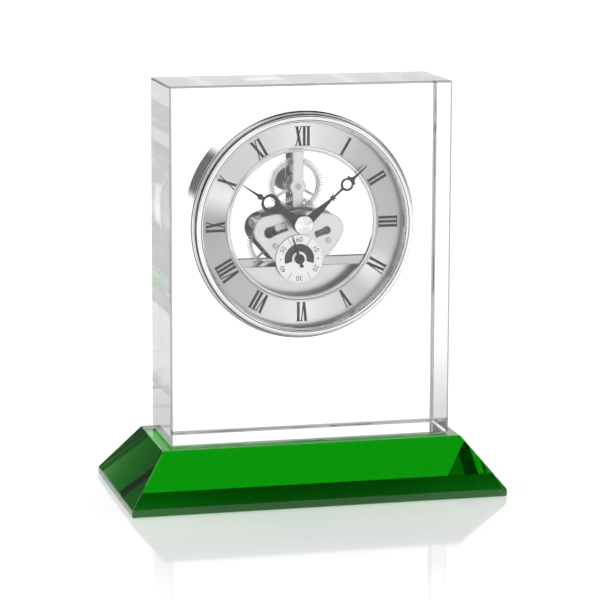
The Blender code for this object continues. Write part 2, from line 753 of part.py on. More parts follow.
def minute_hand():
    """Black Breguet hand: tapered blade, cross spikes, pierced teardrop and needle tip."""
    loop, spikes, tip = 26.0, 17.6, 38.0
    stations = [(-3.6, 1.4), (-2.2, 3.0), (0, 3.6), (2.6, 2.9), (4.4, 2.0), (9.0, 1.6), (spikes - 1.1, 0.55)]
    stations += [(spikes - 0.5, 1.6), (spikes, 0.75), (spikes + 0.9, 1.7), (spikes + 0.8, 0.5)]
    stations += [(loop - 3.6, 0.5), *bulge(loop, 2.9, 0.75)[:-2]]
    stations += [(loop + 3.0, 2.6), (loop + 3.4, 1.2), (loop + 4.6, 0.6), (tip, 0.2)]
    hole = turned_circle(1.95, loop + 0.1, MINUTE_ANGLE)
    prism("minute_hand", [mirrored(stations, MINUTE_ANGLE), hole], MINUTE_HAND, BLACK_STEEL)
    low, high = CAP
    cone = [(0, high), (1.0, high - 0.1), (CAP_RADIUS - 0.5, high - 1.0), (CAP_RADIUS, low + 0.15)]
    turned("hand_cap", [*cone, (CAP_RADIUS, low), (0, low)], CHROME, insert, steps=32, closed=False)


def hour_hand():
    """Breguet hand with a large pierced moon, a bead and a needle tip."""
    moon, bead, tip = 17.8, 23.2, 32.4
    stations = [(-4.0, 1.6), (-2.6, 3.4), (0, 4.4), (2.8, 3.6), (5.0, 2.2), (8.4, 1.5), (11.6, 1.4)]
    stations += [(12.2, 2.3), (13.2, 2.3), *bulge(moon, 4.1, 2.0)]
    stations += [(bead - 1.5, 0.8), *bulge(bead, 1.3, 0.7, 6), (bead + 2.4, 0.5), (tip, 0.2)]
    holes = [turned_circle(2.5, moon + 0.5, HOUR_ANGLE, 20), circle(1.15, (0, 0), 16)]
    prism("hour_hand", [mirrored(stations, HOUR_ANGLE), *holes], HOUR_HAND, BLACK_STEEL)


def seconds_hand():
    stations = [(-3.9, 0.5), (-3.4, 0.9), (-2.9, 0.5), *bulge(0, 2.2, 0.6), (10.4, 0.15)]
    prism("seconds_hand", [mirrored(stations, SECONDS_ANGLE)], SECONDS_HAND, BLACK_STEEL, SECONDS)


# ---------------------------------------------------------------- assembly

clear_scene()
parts = new_collection("crystal_desk_clock")
cutters = new_collection("cutters", hidden=True)

CLEAR_CRYSTAL = material("clear_crystal", (1.0, 1.0, 1.0), 0.02, transmission=1.0, ior=1.52)
GREEN_CRYSTAL = material("green_crystal", (0.0, 0.3, 0.04), 0.02, transmission=0.8, ior=1.52)
LENS_GLASS = material("lens_glass", (0.95, 0.97, 1.0), 0.02, transmission=1.0, ior=1.5)
CHROME = material("chrome", (0.82, 0.83, 0.85), 0.08, metallic=1.0)
DARK_CHROME = material("dark_chrome", (0.45, 0.46, 0.48), 0.15, metallic=1.0)
SATIN_SILVER = material("satin_silver", (0.72, 0.73, 0.75), 0.3, metallic=1.0)
NICKEL = material("nickel", (0.66, 0.65, 0.62), 0.25, metallic=1.0)
STEEL = material("steel", (0.6, 0.6, 0.62), 0.3, metallic=1.0)
BRASS = material("brass", (0.72, 0.6, 0.32), 0.3, metallic=1.0)
COPPER = material("copper", (0.62, 0.3, 0.16), 0.35, metallic=1.0)
BLACK_STEEL = material("black_steel", (0.015, 0.015, 0.018), 0.3)
WHITE_PAINT = material("white_paint", (0.86, 0.86, 0.86), 0.45)
RUBBER = material("rubber", (0.6, 0.6, 0.6), 0.6)
BATTERY_SKIN = material("battery_skin", (0.25, 0.26, 0.28), 0.35, metallic=0.5)
BOARD_GREEN = material("board_green", (0.02, 0.16, 0.07), 0.5)
KNOB_GREY = material("knob_grey", (0.5, 0.5, 0.52), 0.4)

insert = bpy.data.objects.new("hands_axis", None)
parts.objects.link(insert)
insert.location = (AXIS_X * MM, -SLAB_DEPTH / 2 * MM, AXIS_Z * MM)
insert.rotation_euler = (math.pi / 2, 0, 0)

crystal_slab()
crystal_base()
bezel_ring()
front_lens()
dial()
case()
rear_panels()
battery_housing()
battery()
battery_door()
front_plate()
back_plate()
top_strut()
screws()
seconds_dial()
motor()
going_train()
hand_works()
setting_knob()
minute_hand()
hour_hand()
seconds_hand()
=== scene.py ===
"""Looks for the crystal desk clock: fine glass, chrome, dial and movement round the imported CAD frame."""

import json
import math

import bmesh
import bpy
from mathutils import Matrix, Quaternion, Vector

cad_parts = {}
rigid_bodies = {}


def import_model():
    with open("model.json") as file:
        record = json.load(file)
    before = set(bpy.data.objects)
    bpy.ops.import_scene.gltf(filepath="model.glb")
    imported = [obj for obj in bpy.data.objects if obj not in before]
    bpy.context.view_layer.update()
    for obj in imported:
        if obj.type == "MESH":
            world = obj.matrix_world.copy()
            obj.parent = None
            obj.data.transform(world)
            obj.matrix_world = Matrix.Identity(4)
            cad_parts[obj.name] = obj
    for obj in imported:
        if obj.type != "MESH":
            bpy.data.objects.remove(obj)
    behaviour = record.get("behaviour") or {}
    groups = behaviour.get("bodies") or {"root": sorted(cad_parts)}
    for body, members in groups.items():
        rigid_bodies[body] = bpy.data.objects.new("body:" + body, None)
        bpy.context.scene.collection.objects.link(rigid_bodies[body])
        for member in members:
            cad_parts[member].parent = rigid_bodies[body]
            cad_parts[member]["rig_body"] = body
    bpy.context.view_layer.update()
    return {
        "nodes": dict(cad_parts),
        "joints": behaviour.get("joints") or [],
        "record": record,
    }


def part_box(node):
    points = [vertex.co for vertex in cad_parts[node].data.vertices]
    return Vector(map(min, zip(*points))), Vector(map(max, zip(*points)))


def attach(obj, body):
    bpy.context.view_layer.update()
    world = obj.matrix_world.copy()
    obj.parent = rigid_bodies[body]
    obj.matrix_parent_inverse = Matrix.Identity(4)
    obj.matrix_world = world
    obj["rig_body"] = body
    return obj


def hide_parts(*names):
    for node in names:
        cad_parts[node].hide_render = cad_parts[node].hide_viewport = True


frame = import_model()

NODES = frame["nodes"]
SLOTS = {row["node"]: row["material_slot"] for row in frame["record"]["subparts"]}
MM = 0.001
TINY = 1e-4  # millimetres
TURN = 2 * math.pi
STEPS = 192  # round a turned piece
FINE_STEPS = 256  # round the large rings
HAIR = 2 * TINY  # the bore of a closed profile that reaches the axis

# ---------------- places read from the frame

AXIS = Vector(next(j["pos_m"] for j in frame["joints"] if j["name"] == "minute_turn"))
FACE_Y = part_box("crystal_slab")[0].y
# The insert's own frame: x to the right, y up and z towards the viewer, from the slab's front face.
TO_WORLD = Matrix.Translation((AXIS.x, FACE_Y, AXIS.z)) @ Matrix.Rotation(math.pi / 2, 4, "X")


def extent(node):
    """A node's lowest and highest corners in the insert's frame, in millimetres."""
    low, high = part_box(node)
    return (
        ((low.x - AXIS.x) / MM, (low.z - AXIS.z) / MM, (FACE_Y - high.y) / MM),
        ((high.x - AXIS.x) / MM, (high.z - AXIS.z) / MM, (FACE_Y - low.y) / MM),
    )


def radius_of(node):
    low, high = extent(node)
    return (high[0] - low[0]) / 2


def span_of(node):
    """A node's back and front."""
    low, high = extent(node)
    return low[2], high[2]


def turned_size(node):
    """A round node's radius, back and front."""
    return radius_of(node), *span_of(node)


def centre_of(node):
    low, high = extent(node)
    return (low[0] + high[0]) / 2, (low[1] + high[1]) / 2


def arbor_of(joint):
    """Where a joint's axis crosses the insert's frame."""
    pos = Vector(next(j["pos_m"] for j in frame["joints"] if j["name"] == joint))
    return (pos.x - AXIS.x) / MM, (pos.z - AXIS.z) / MM


CENTRE = (0.0, 0.0)
SECONDS = arbor_of("seconds_turn")
THIRD = arbor_of("third_turn")
INTERMEDIATE = arbor_of("intermediate_turn")
ROTOR = arbor_of("rotor_turn")
SETTING = arbor_of("setting_turn")
MINUTE_WORKS = arbor_of("motion_work_turn")

# Sizes that the nodes' boxes don't give, in millimetres
BASE_TOP = (135.6, 51.4)
BASE_SKIRT = 3.2
SLAB_EDGE, BASE_EDGE = 0.9, 0.45
SHADE_STRIP_FRONT, SHADE_STRIP_BACK = 28.0, 7.0  # widths of the dark strips under the base's front and back edges, painted shade
BORE_RADIUS = 46.9
BEZEL_INNER = 46.3
DIAL_INNER = 33.6
TRIM_INNER = 32.2
CHORD = -19.6

# Where the hands point, anticlockwise from 12
HANDS = {"minute": math.radians(-48.3), "hour": math.radians(-304.0), "seconds": math.radians(17.4)}

# ---------------- shader helpers


def shader(name, **inputs):
    """A material with constants on its main shader's sockets."""
    mat = bpy.data.materials.new(name)
    mat.use_nodes = True
    bsdf = mat.node_tree.nodes["Principled BSDF"]
    for key, value in inputs.items():
        bsdf.inputs[key.replace("_", " ")].default_value = value
    return mat, mat.node_tree, bsdf


def feed(bsdf, socket, source):
    bsdf.id_data.links.new(source, bsdf.inputs[socket])


def add(tree, kind, links=(), operation=None, **inputs):
    """A shader node with values on its sockets. Links are (socket, source) pairs."""
    node = tree.nodes.new("ShaderNode" + kind)
    if operation:
        node.operation = operation
    for key, value in inputs.items():
        node.inputs[key.replace("_", " ")].default_value = value
    for socket, source in links:
        tree.links.new(source, node.inputs[socket])
    return node


def object_space(tree):
    return add(tree, "TexCoord").outputs["Object"]


def noise(tree, vector, scale, detail=2.0):
    node = add(tree, "TexNoise", [("Vector", vector)], Scale=scale, Detail=detail)
    return node.outputs["Fac"]


def mapped(tree, source, old, new, smooth=False):
    """Maps one range to another, with soft ends where smooth is set."""
    limits = {"From_Min": old[0], "From_Max": old[1], "To_Min": new[0], "To_Max": new[1]}
    node = add(tree, "MapRange", [("Value", source)], **limits)
    if smooth:
        node.interpolation_type = "SMOOTHSTEP"
    return node.outputs["Result"]


def skin_of(tree, scale, detail):
    """Noise over the piece itself."""
    return noise(tree, object_space(tree), scale, detail)


def between(tree, source, low, high):
    """Maps 0..1 to low..high."""
    return mapped(tree, source, (0, 1), (low, high))


def maths(tree, operation, first, second=None):
    """A sum of one or two terms. The first is a source and the second is a source or a number."""
    node = add(tree, "Math", [(0, first)], operation)
    if isinstance(second, (int, float)):
        node.inputs[1].default_value = second
    elif second is not None:
        tree.links.new(second, node.inputs[1])
    return node.outputs[0]


def shades(tree, source, dark, light):
    """Mixes two colours. Each is three numbers or a source."""
    node = tree.nodes.new("ShaderNodeMix")
    node.data_type = "RGBA"
    tree.links.new(source, node.inputs["Factor"])
    for socket, colour in (("A", dark), ("B", light)):
        if isinstance(colour, tuple):
            node.inputs[socket].default_value = (*colour, 1)
        else:
            tree.links.new(colour, node.inputs[socket])
    return node.outputs["Result"]


def bump(tree, bsdf, height, distance):
    node = add(tree, "Bump", [("Height", height)], Strength=1.0, Distance=distance)
    feed(bsdf, "Normal", node.outputs[0])


def polar(tree):
    """The angle, as -0.5..0.5 of a turn, and the distance round the piece's own z axis."""
    split = add(tree, "SeparateXYZ", [("Vector", object_space(tree))])
    x, y = split.outputs["X"], split.outputs["Y"]
    flat = add(tree, "CombineXYZ", [("X", x), ("Y", y)])
    reach = add(tree, "VectorMath", [(0, flat.outputs[0])], "LENGTH")
    return maths(tree, "DIVIDE", maths(tree, "ARCTAN2", x, y), TURN), reach.outputs["Value"]


# ---------------- materials


def glass(name, ior, smear, absorb=None, density=0.0, shade=1.0, clear=1.0):
    """Clear glass with a faint polish pattern in its roughness."""
    mat, tree, bsdf = shader(name, Base_Color=(shade, shade, shade, 1), IOR=ior, Transmission_Weight=clear)
    polish = skin_of(tree, 60, 3)
    feed(bsdf, "Roughness", between(tree, polish, 0.0, smear))
    if absorb:
        volume = add(tree, "VolumeAbsorption", Color=(*absorb, 1), Density=density)
        tree.links.new(volume.outputs[0], tree.nodes["Material Output"].inputs["Volume"])
    return mat


def metal(name, dark, light, smooth, rough, grain, scale, depth=0.0):
    """Metal whose shade and roughness vary with a grain, which scale can stretch into brush lines."""
    mat, tree, bsdf = shader(name, Metallic=1.0)
    mapping = add(tree, "Mapping", [("Vector", object_space(tree))], Scale=scale)
    lines = noise(tree, mapping.outputs[0], grain, 4)
    feed(bsdf, "Base Color", shades(tree, lines, dark, light))
    feed(bsdf, "Roughness", between(tree, lines, smooth, rough))
    if depth:
        bump(tree, bsdf, lines, depth)
    return mat


def paint(name, dark, light, smooth, rough, grain=900, depth=0.00001, gloss=0.5):
    """Lacquer or moulded plastic with a fine skin."""
    mat, tree, bsdf = shader(name, Specular_IOR_Level=gloss)
    skin = skin_of(tree, grain, 3)
    feed(bsdf, "Base Color", shades(tree, skin, dark, light))
    feed(bsdf, "Roughness", between(tree, skin, smooth, rough))
    bump(tree, bsdf, skin, depth)
    return mat


def sunray(name):
    """Radial brushing: streaks along the radius, with broad bright and dull sectors painted into the colour
    as painted highlights and painted shade.
    """
    mat, tree, bsdf = shader(name, Metallic=1.0)
    turn, reach = polar(tree)
    streak = add(tree, "CombineXYZ", [("X", turn), ("Y", reach)])
    streaks = noise(tree, streak.outputs[0], 520, 4)
    # The colour ramp by hour holds the painted highlights and painted shade of the sectors
    ramp = add(tree, "ValToRGB", [("Fac", maths(tree, "FRACT", turn))])
    ramp.color_ramp.interpolation = "EASE"
    elements = ramp.color_ramp.elements
    while len(elements) > 1:
        elements.remove(elements[-1])
    for i, (hour, shade) in enumerate(SUNRAY_PAINTED_LIGHT):
        mark = elements[0] if i == 0 else elements.new(hour / 12)
        mark.position = hour / 12
        mark.color = (shade, shade, shade * COOL, 1)
    brushed = shades(tree, streaks, (0.88, 0.88, 0.88), (1, 1, 1))
    colour = add(tree, "VectorMath", [(0, ramp.outputs[0]), (1, brushed)], "MULTIPLY")
    feed(bsdf, "Base Color", colour.outputs[0])
    feed(bsdf, "Roughness", between(tree, streaks, 0.24, 0.36))
    bump(tree, bsdf, streaks, 0.00002)
    return mat


def lined_chrome(name, lines):
    """Chrome with dark lines of painted shade at the given radii, at the grooves and steps where shadow
    falls. A line is (radius, half width, shade), in mm.
    """
    mat, tree, bsdf = shader(name, Metallic=1.0)
    _, reach = polar(tree)
    colour = shades(tree, skin_of(tree, 150, 4), (0.76, 0.76, 0.77), (0.86, 0.86, 0.87))
    for radius, half, shade in lines:
        # Each line darkens the colour towards its shade: painted shade
        away = maths(tree, "ABSOLUTE", maths(tree, "SUBTRACT", reach, radius * MM))
        clear = mapped(tree, away, (half * 0.6 * MM, half * MM), (0, 1), smooth=True)
        colour = shades(tree, clear, (shade, shade, shade), colour)
    feed(bsdf, "Base Color", colour)
    feed(bsdf, "Roughness", between(tree, skin_of(tree, 400, 3), 0.03, 0.08))
    return mat


def lathed(name):
    """Bright metal with concentric lathe marks."""
    mat, tree, bsdf = shader(name, Metallic=1.0, Roughness=0.14)
    _, reach = polar(tree)
    wave = maths(tree, "SINE", maths(tree, "MULTIPLY", reach, LATHE_MARKS))
    feed(bsdf, "Base Color", shades(tree, wave, (0.82, 0.82, 0.83), (0.93, 0.93, 0.94)))
    bump(tree, bsdf, wave, 0.000004)
    return mat


def two_tone_cell(name):
    """Battery jacket: a dark body with a copper-coloured band at the plus end, and no lettering."""
    mat, tree, bsdf = shader(name, Metallic=0.6)
    split = add(tree, "SeparateXYZ", [("Vector", object_space(tree))])
    band = maths(tree, "GREATER_THAN", split.outputs["Z"], BAND_START * MM)
    feed(bsdf, "Base Color", shades(tree, band, (0.03, 0.032, 0.036), (0.5, 0.2, 0.08)))
    skin = skin_of(tree, 500, 3)
    feed(bsdf, "Roughness", between(tree, skin, 0.22, 0.34))
    return mat


# Hour on the dial, and how bright the sunray is painted there: painted highlights and painted shade in the
# colour
SUNRAY_PAINTED_LIGHT = [
    (0.0, 0.84), (0.7, 0.7), (1.4, 0.5), (2.6, 0.48), (3.5, 0.58), (4.1, 0.84), (4.7, 0.56), (5.3, 0.72),
    (6.0, 0.86), (6.7, 0.74), (7.3, 0.5), (8.3, 0.46), (9.1, 0.4), (9.7, 0.86), (10.2, 0.62), (11.1, 0.68),
    (12.0, 0.84),
]

COOL = 1.015  # the dial's blue against its red and green
# Painted shade along the bezel's grooves and steps: (radius, half width, shade), in mm
BEZEL_PAINTED_SHADE = [(46.6, 0.24, 0.12), (48.85, 0.34, 0.05), (49.9, 0.2, 0.16)]
LATHE_MARKS = 40000  # radians of the wave to a metre of radius
BAND_START = 10.5  # of the battery's copper band, from its middle
CRYSTAL_IOR, LENS_IOR = 1.52, 1.5
GREEN_DENSITY = 78.0
BRUSH_ALONG = (0.02, 1, 1)
EVEN = (1, 1, 1)
BLACK_STEEL = ((0.006, 0.006, 0.007), (0.014, 0.014, 0.015))
SATIN_SHADES = ((0.62, 0.63, 0.635), (0.74, 0.75, 0.755))
DARK_CHROME = ((0.1, 0.1, 0.105), (0.34, 0.34, 0.35))
BACK_SHADES = ((0.62, 0.63, 0.64), (0.84, 0.845, 0.86))
BACK_SATIN = metal("back_satin", *BACK_SHADES, 0.28, 0.42, 2000, BRUSH_ALONG, 0.00001)

SLOT_MATERIALS = {
    "clear_crystal": glass("clear_crystal", CRYSTAL_IOR, 0.004),
    "green_crystal": glass("green_crystal", CRYSTAL_IOR, 0.002, (0.0, 0.79, 0.0), GREEN_DENSITY),
    "lens_glass": glass("lens_glass", LENS_IOR, 0.006),
    "chrome": metal("chrome", (0.74, 0.74, 0.75), (0.84, 0.84, 0.85), 0.02, 0.06, 150, EVEN),
    "dark_chrome": metal("dark_chrome", *DARK_CHROME, 0.06, 0.16, 420, EVEN, 0.00003),
    "satin_silver": metal("satin_silver", *SATIN_SHADES, 0.24, 0.36, 2600, BRUSH_ALONG, 0.000006),
    "dial_silver": sunray("dial_sunray_painted_light"),
    "nickel": metal("nickel", (0.4, 0.398, 0.39), (0.62, 0.618, 0.61), 0.14, 0.26, 1200, EVEN, 0.000006),
    "steel": metal("steel", (0.42, 0.425, 0.43), (0.62, 0.625, 0.63), 0.2, 0.32, 1500, EVEN, 0.000008),
    "brass": metal("plated_brass", (0.46, 0.455, 0.44), (0.66, 0.655, 0.64), 0.2, 0.32, 1500, EVEN, 0.000008),
    "copper": metal("coil_wire", (0.1, 0.085, 0.08), (0.36, 0.32, 0.3), 0.1, 0.26, 1500, EVEN, 0.00002),
    "black_steel": paint("black_lacquer", *BLACK_STEEL, 0.3, 0.42, gloss=0.14),
    "white_paint": metal("silvered_white", (0.86, 0.86, 0.86), (0.95, 0.95, 0.95), 0.34, 0.42, 1600, EVEN),
    "rubber": paint("clear_rubber", (0.6, 0.6, 0.6), (0.72, 0.72, 0.72), 0.5, 0.7, 1400, 0.00003),
    "battery_skin": two_tone_cell("battery_skin"),
    "board_green": paint("board_green", (0.1, 0.12, 0.11), (0.3, 0.34, 0.32), 0.3, 0.5, 2200, 0.00003),
    "knob_grey": paint("knob_grey", (0.3, 0.3, 0.31), (0.42, 0.42, 0.43), 0.35, 0.5, 1800, 0.00003),
}

# ---------------- mesh helpers


def circle(radius, centre=(0, 0), steps=48, start=0.0, sweep=TURN):
    full = sweep >= TURN
    count = steps if full else steps + 1
    angles = [start + sweep * i / steps for i in range(count)]
    return [(centre[0] + radius * math.cos(a), centre[1] + radius * math.sin(a)) for a in angles]


def tube(inner, outer, low, high):
    """The section of a plain ring."""
    return [(inner, low), (inner, high), (outer, high), (outer, low)]


def filleted(profile, radius, steps=4):
    """Rounds a closed profile's corners, with a support point at each end of each arc."""
    points = []
    for i, corner in enumerate(profile):
        here = Vector(corner)
        before = Vector(profile[i - 1]) - here
        after = Vector(profile[(i + 1) % len(profile)]) - here
        room = min(radius, before.length * 0.4, after.length * 0.4)
        start = here + before.normalized() * room
        end = here + after.normalized() * room
        points.append(tuple(here + before.normalized() * room * 1.15))
        for k in range(steps + 1):
            t = k / steps
            points.append(tuple(start * (1 - t) ** 2 + here * 2 * t * (1 - t) + end * t * t))
        points.append(tuple(here + after.normalized() * room * 1.15))
    return points


def linked(name, data):
    """A new object in the scene."""
    obj = bpy.data.objects.new(name, data)
    bpy.context.scene.collection.objects.link(obj)
    return obj


def evaluated_mesh(obj):
    return bpy.data.meshes.new_from_object(obj.evaluated_get(bpy.context.evaluated_depsgraph_get()))


def curve_mesh(curve):
    obj = linked(curve.name, curve)
    mesh = evaluated_mesh(obj)
    bpy.data.objects.remove(obj)
    return mesh


def baked(bm, name):
    mesh = bpy.data.meshes.new(name)
    bm.to_mesh(mesh)
    bm.free()
    return mesh


def finish_mesh(bm, name):
    bmesh.ops.remove_doubles(bm, verts=bm.verts, dist=TINY * MM)
    bmesh.ops.recalc_face_normals(bm, faces=bm.faces)
    return baked(bm, name)


def turned_mesh(name, profile, steps=STEPS, closed=True):
    """(radius, z) points turned about z."""
    bm = bmesh.new()
    rings = []
    for radius, z in profile:
        if radius < TINY:
            rings.append([bm.verts.new((0, 0, z * MM))] * steps)
        else:
            rings.append([bm.verts.new((x * MM, y * MM, z * MM)) for x, y in circle(radius, steps=steps)])
    pairs = list(zip(rings, rings[1:]))
    if closed:
        pairs.append((rings[-1], rings[0]))
    for upper, lower in pairs:
        for i in range(steps):
            j = (i + 1) % steps
            corners = list(dict.fromkeys((upper[i], upper[j], lower[j], lower[i])))
            if len(corners) > 2:
                bm.faces.new(corners)
    return finish_mesh(bm, name)


def plate_mesh(name, outlines, span, edge=0.1):
    """A plate with chamfered edges. The first outline is its edge and the others are holes."""
    low, high = span
    curve = bpy.data.curves.new(name, "CURVE")
    curve.dimensions = "2D"
    curve.fill_mode = "BOTH"
    curve.extrude = (high - low) / 2 - edge
    curve.bevel_depth = edge
    curve.bevel_resolution = 0
    curve.offset = -edge
    for outline in outlines:
        spline = curve.splines.new("POLY")
        spline.points.add(len(outline) - 1)
        for point, (x, y) in zip(spline.points, outline):
            point.co = (x, y, 0, 1)
        spline.use_cyclic_u = True
    solid = curve_mesh(curve)
    bm = bmesh.new()
    bm.from_mesh(solid)
    bmesh.ops.translate(bm, verts=bm.verts, vec=(0, 0, (low + high) / 2))
    bmesh.ops.scale(bm, verts=bm.verts, vec=(MM, MM, MM))
    bpy.data.meshes.remove(solid)
    return finish_mesh(bm, name)


def round_edges(bm, radius):
    bmesh.ops.bevel(bm, geom=bm.edges[:], offset=radius * MM, segments=3, profile=0.5, affect="EDGES")


def block_mesh(name, low, high, edge):
    """A box between two corners in millimetres, with rounded edges."""
    bm = bmesh.new()
    bmesh.ops.create_cube(bm, size=1.0)
    for vert in bm.verts:
        vert.co = [MM * (a + b + 2 * c * (b - a)) / 2 for a, b, c in zip(low, high, vert.co)]
    round_edges(bm, edge)
    return finish_mesh(bm, name)


def merged(name, *meshes):
    bm = bmesh.new()
    for mesh in meshes:
        bm.from_mesh(mesh)
        bpy.data.meshes.remove(mesh)
    return baked(bm, name)


def prisms(name, outlines, span):
    """Convex outlines as thin separate solids in one mesh."""
    low, high = span
    bm = bmesh.new()
    for outline in outlines:
        lower = [bm.verts.new((x * MM, y * MM, low * MM)) for x, y in outline]
        upper = [bm.verts.new((x * MM, y * MM, high * MM)) for x, y in outline]
        bm.faces.new(lower)
        bm.faces.new(upper)
        for i in range(len(outline)):
            j = (i + 1) % len(outline)
            bm.faces.new((lower[i], lower[j], upper[j], upper[i]))
    bmesh.ops.recalc_face_normals(bm, faces=bm.faces)
    return baked(bm, name)


def soften(mesh, sharp):
    """Smooth shading, with edges from sharp degrees upwards left crisp."""
    mesh.shade_smooth()
    mesh.set_sharp_from_angle(angle=math.radians(sharp))


def piece(name, mesh, node, mat=None, matrix=TO_WORLD, sharp=28.0, slot=None):
    """A visible piece that rides on a node's body."""
    obj = linked(name, mesh)
    slot = slot or SLOTS[node]
    mesh.materials.clear()
    mesh.materials.append(mat or SLOT_MATERIALS[slot])
    soften(mesh, sharp)
    obj.matrix_world = matrix
    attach(obj, NODES[node]["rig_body"])
    return obj


def fine(node, mesh, mat=None, matrix=TO_WORLD, sharp=28.0):
    """The piece that stands for a node."""
    obj = piece(f"fine_{node}", mesh, node, mat, matrix, sharp)
    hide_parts(node)
    return obj


def at(place):
    return TO_WORLD @ Matrix.Translation((place[0] * MM, place[1] * MM, 0))


def fine_turned(node, profile, steps=FINE_STEPS, mat=None, place=(0, 0), sharp=35, closed=True):
    fine(node, turned_mesh(node, profile, steps, closed), mat, at(place), sharp)


def fine_plate(node, outlines, edge, place=(0, 0)):
    fine(node, plate_mesh(node, outlines, span_of(node), edge), matrix=at(place))


def cut_with(obj, tool):
    """Cuts a tool mesh, in the object's own frame, out of an object."""
    cutter = linked("cutter", tool)
    cutter.matrix_world = obj.matrix_world
    modifier = obj.modifiers.new("cut", "BOOLEAN")
    modifier.operation = "DIFFERENCE"
    modifier.solver = "EXACT"
    modifier.object = cutter
    result = evaluated_mesh(obj)
    obj.modifiers.clear()
    old = obj.data
    result.name = old.name
    obj.data = result
    bpy.data.meshes.remove(old)
    bpy.data.objects.remove(cutter)
    bpy.data.meshes.remove(tool)


# ---------------- stand


def crystal_slab():
    """The clear block. Its sides and edges carry a painted grey shade, darkened copies of the glass that
    stand in for the darker reflections which show them in a white room.
    """
    low, high = extent("crystal_slab")
    slab = fine("crystal_slab", block_mesh("slab", low, high, SLAB_EDGE), sharp=12)
    overshoot = 5
    walls = (low[2] - overshoot, high[2] + overshoot)
    bore = [(0, walls[1]), (BORE_RADIUS, walls[1]), (BORE_RADIUS, walls[0]), (0, walls[0])]
    cut_with(slab, turned_mesh("bore", bore, FINE_STEPS, closed=False))
    mesh = slab.data
    soften(mesh, 12)
    # Painted shade: the flat sides and the polished edges take darkened copies of the glass
    mesh.materials.append(glass("crystal_sides_painted_shade", CRYSTAL_IOR, 0.015, shade=0.6, clear=0.8))
    mesh.materials.append(glass("crystal_edges_painted_shade", CRYSTAL_IOR, 0.05, shade=0.2, clear=0.8))
    for face in mesh.polygons:
        x, y, _ = face.center / MM
        flat = max(abs(value) for value in face.normal) > 0.98
        on_side = min(x - low[0], high[0] - x, high[1] - y) < 0.05
        if flat and on_side:
            face.material_index = 1
        elif not flat and math.hypot(x, y) > BORE_RADIUS + 0.5:
            face.material_index = 2


def crystal_base():
    """A truncated pyramid over a low upright skirt, with polished edges."""
    low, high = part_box("green_base")
    bm = bmesh.new()
    loops = []
    wide = (high.x, high.y)
    narrow = (BASE_TOP[0] / 2 * MM, BASE_TOP[1] / 2 * MM)
    for half, z in ((wide, low.z), (wide, low.z + BASE_SKIRT * MM), (narrow, high.z)):
        corners = ((-1, -1), (1, -1), (1, 1), (-1, 1))
        loops.append([bm.verts.new((a * half[0], b * half[1], z)) for a, b in corners])
    for lower, upper in zip(loops, loops[1:]):
        for i in range(4):
            j = (i + 1) % 4
            bm.faces.new((lower[i], lower[j], upper[j], upper[i]))
    bm.faces.new(loops[0])
    bm.faces.new(loops[-1])
    round_edges(bm, BASE_EDGE)
    bmesh.ops.recalc_face_normals(bm, faces=bm.faces)
    bare = (SHADE_STRIP_FRONT * MM - wide[1], wide[1] - SHADE_STRIP_BACK * MM)
    for y in bare:
        under = [face for face in bm.faces if face.normal.z < -0.99]
        edges = {edge for face in under for edge in face.edges}
        verts = {vert for face in under for vert in face.verts}
        parts = [*verts, *edges, *under]
        bmesh.ops.bisect_plane(bm, geom=parts, plane_co=(0, y, 0), plane_no=(0, 1, 0))
    base = fine("green_base", finish_mesh(bm, "base"), matrix=Matrix.Identity(4), sharp=4)
    # Painted shade: dark green strips under the base's front and back edges darken the band seen through the
    # slopes
    painted_shade_strip = paint("painted_shade_strip", (0.03, 0.3, 0.06), (0.08, 0.55, 0.12), 0.9, 1.0, 1500, gloss=0.0)
    base.data.materials.append(painted_shade_strip)
    for face in base.data.polygons:
        if face.normal.z < -0.99 and not bare[0] < face.center.y < bare[1]:
            face.material_index = 1


# ---------------- insert shell


def bezel_ring():
    """A flat flange on the slab and a rolled crest round the lens, with turned steps between them."""
    outer, back, crest = turned_size("bezel_ring")
    inner = BEZEL_INNER
    groove, shoulder, step, flange, rim = 4.6, 4.2, 2.3, 1.9, 1.5
    profile = [
        (inner - 0.6, crest - 0.75),
        (inner - 0.2, crest - 0.25),
        (inner + 0.9, crest),
        (inner + 2.0, crest - 0.35),
        (inner + 2.5, crest - 1.1),
        (inner + 2.6, groove),
        (outer - 0.9, shoulder),
        (outer - 0.85, step),
        (outer - 0.2, flange),
        (outer, rim),
        (outer, back),
        (inner, back),
        (inner, crest - 0.85),
    ]
    chrome = lined_chrome("bezel_chrome_painted_shade", BEZEL_PAINTED_SHADE)
    fine_turned("bezel_ring", filleted(profile, 0.45, 5), mat=chrome, sharp=40)


def front_lens():
    radius, low, high = turned_size("front_lens")
    edge = 0.4
    profile = [(0, high), (radius - edge, high), (radius, high - edge), (radius, low), (0, low)]
    fine_turned("front_lens", profile, sharp=25, closed=False)


def lens_spacer():
    """The wall under the lens, with fine turned steps that glitter."""
    outer, low, high = turned_size("lens_spacer")
    steps = 7
    rise = (high - low) / steps
    wall, lip = 0.7, 0.16
    inside = []
    for i in range(steps):
        z = low + rise * i
        inside += [(outer - wall, z), (outer - wall + lip, z + rise * 0.55)]
    profile = [*inside, (outer - wall, high), (outer, high), (outer, low)]
    sparkle = metal("spacer_chrome", (0.3, 0.3, 0.31), (0.98, 0.98, 0.98), 0.02, 0.12, 700, EVEN, 0.00025)
    fine_turned("lens_spacer", profile, mat=sparkle, sharp=15)


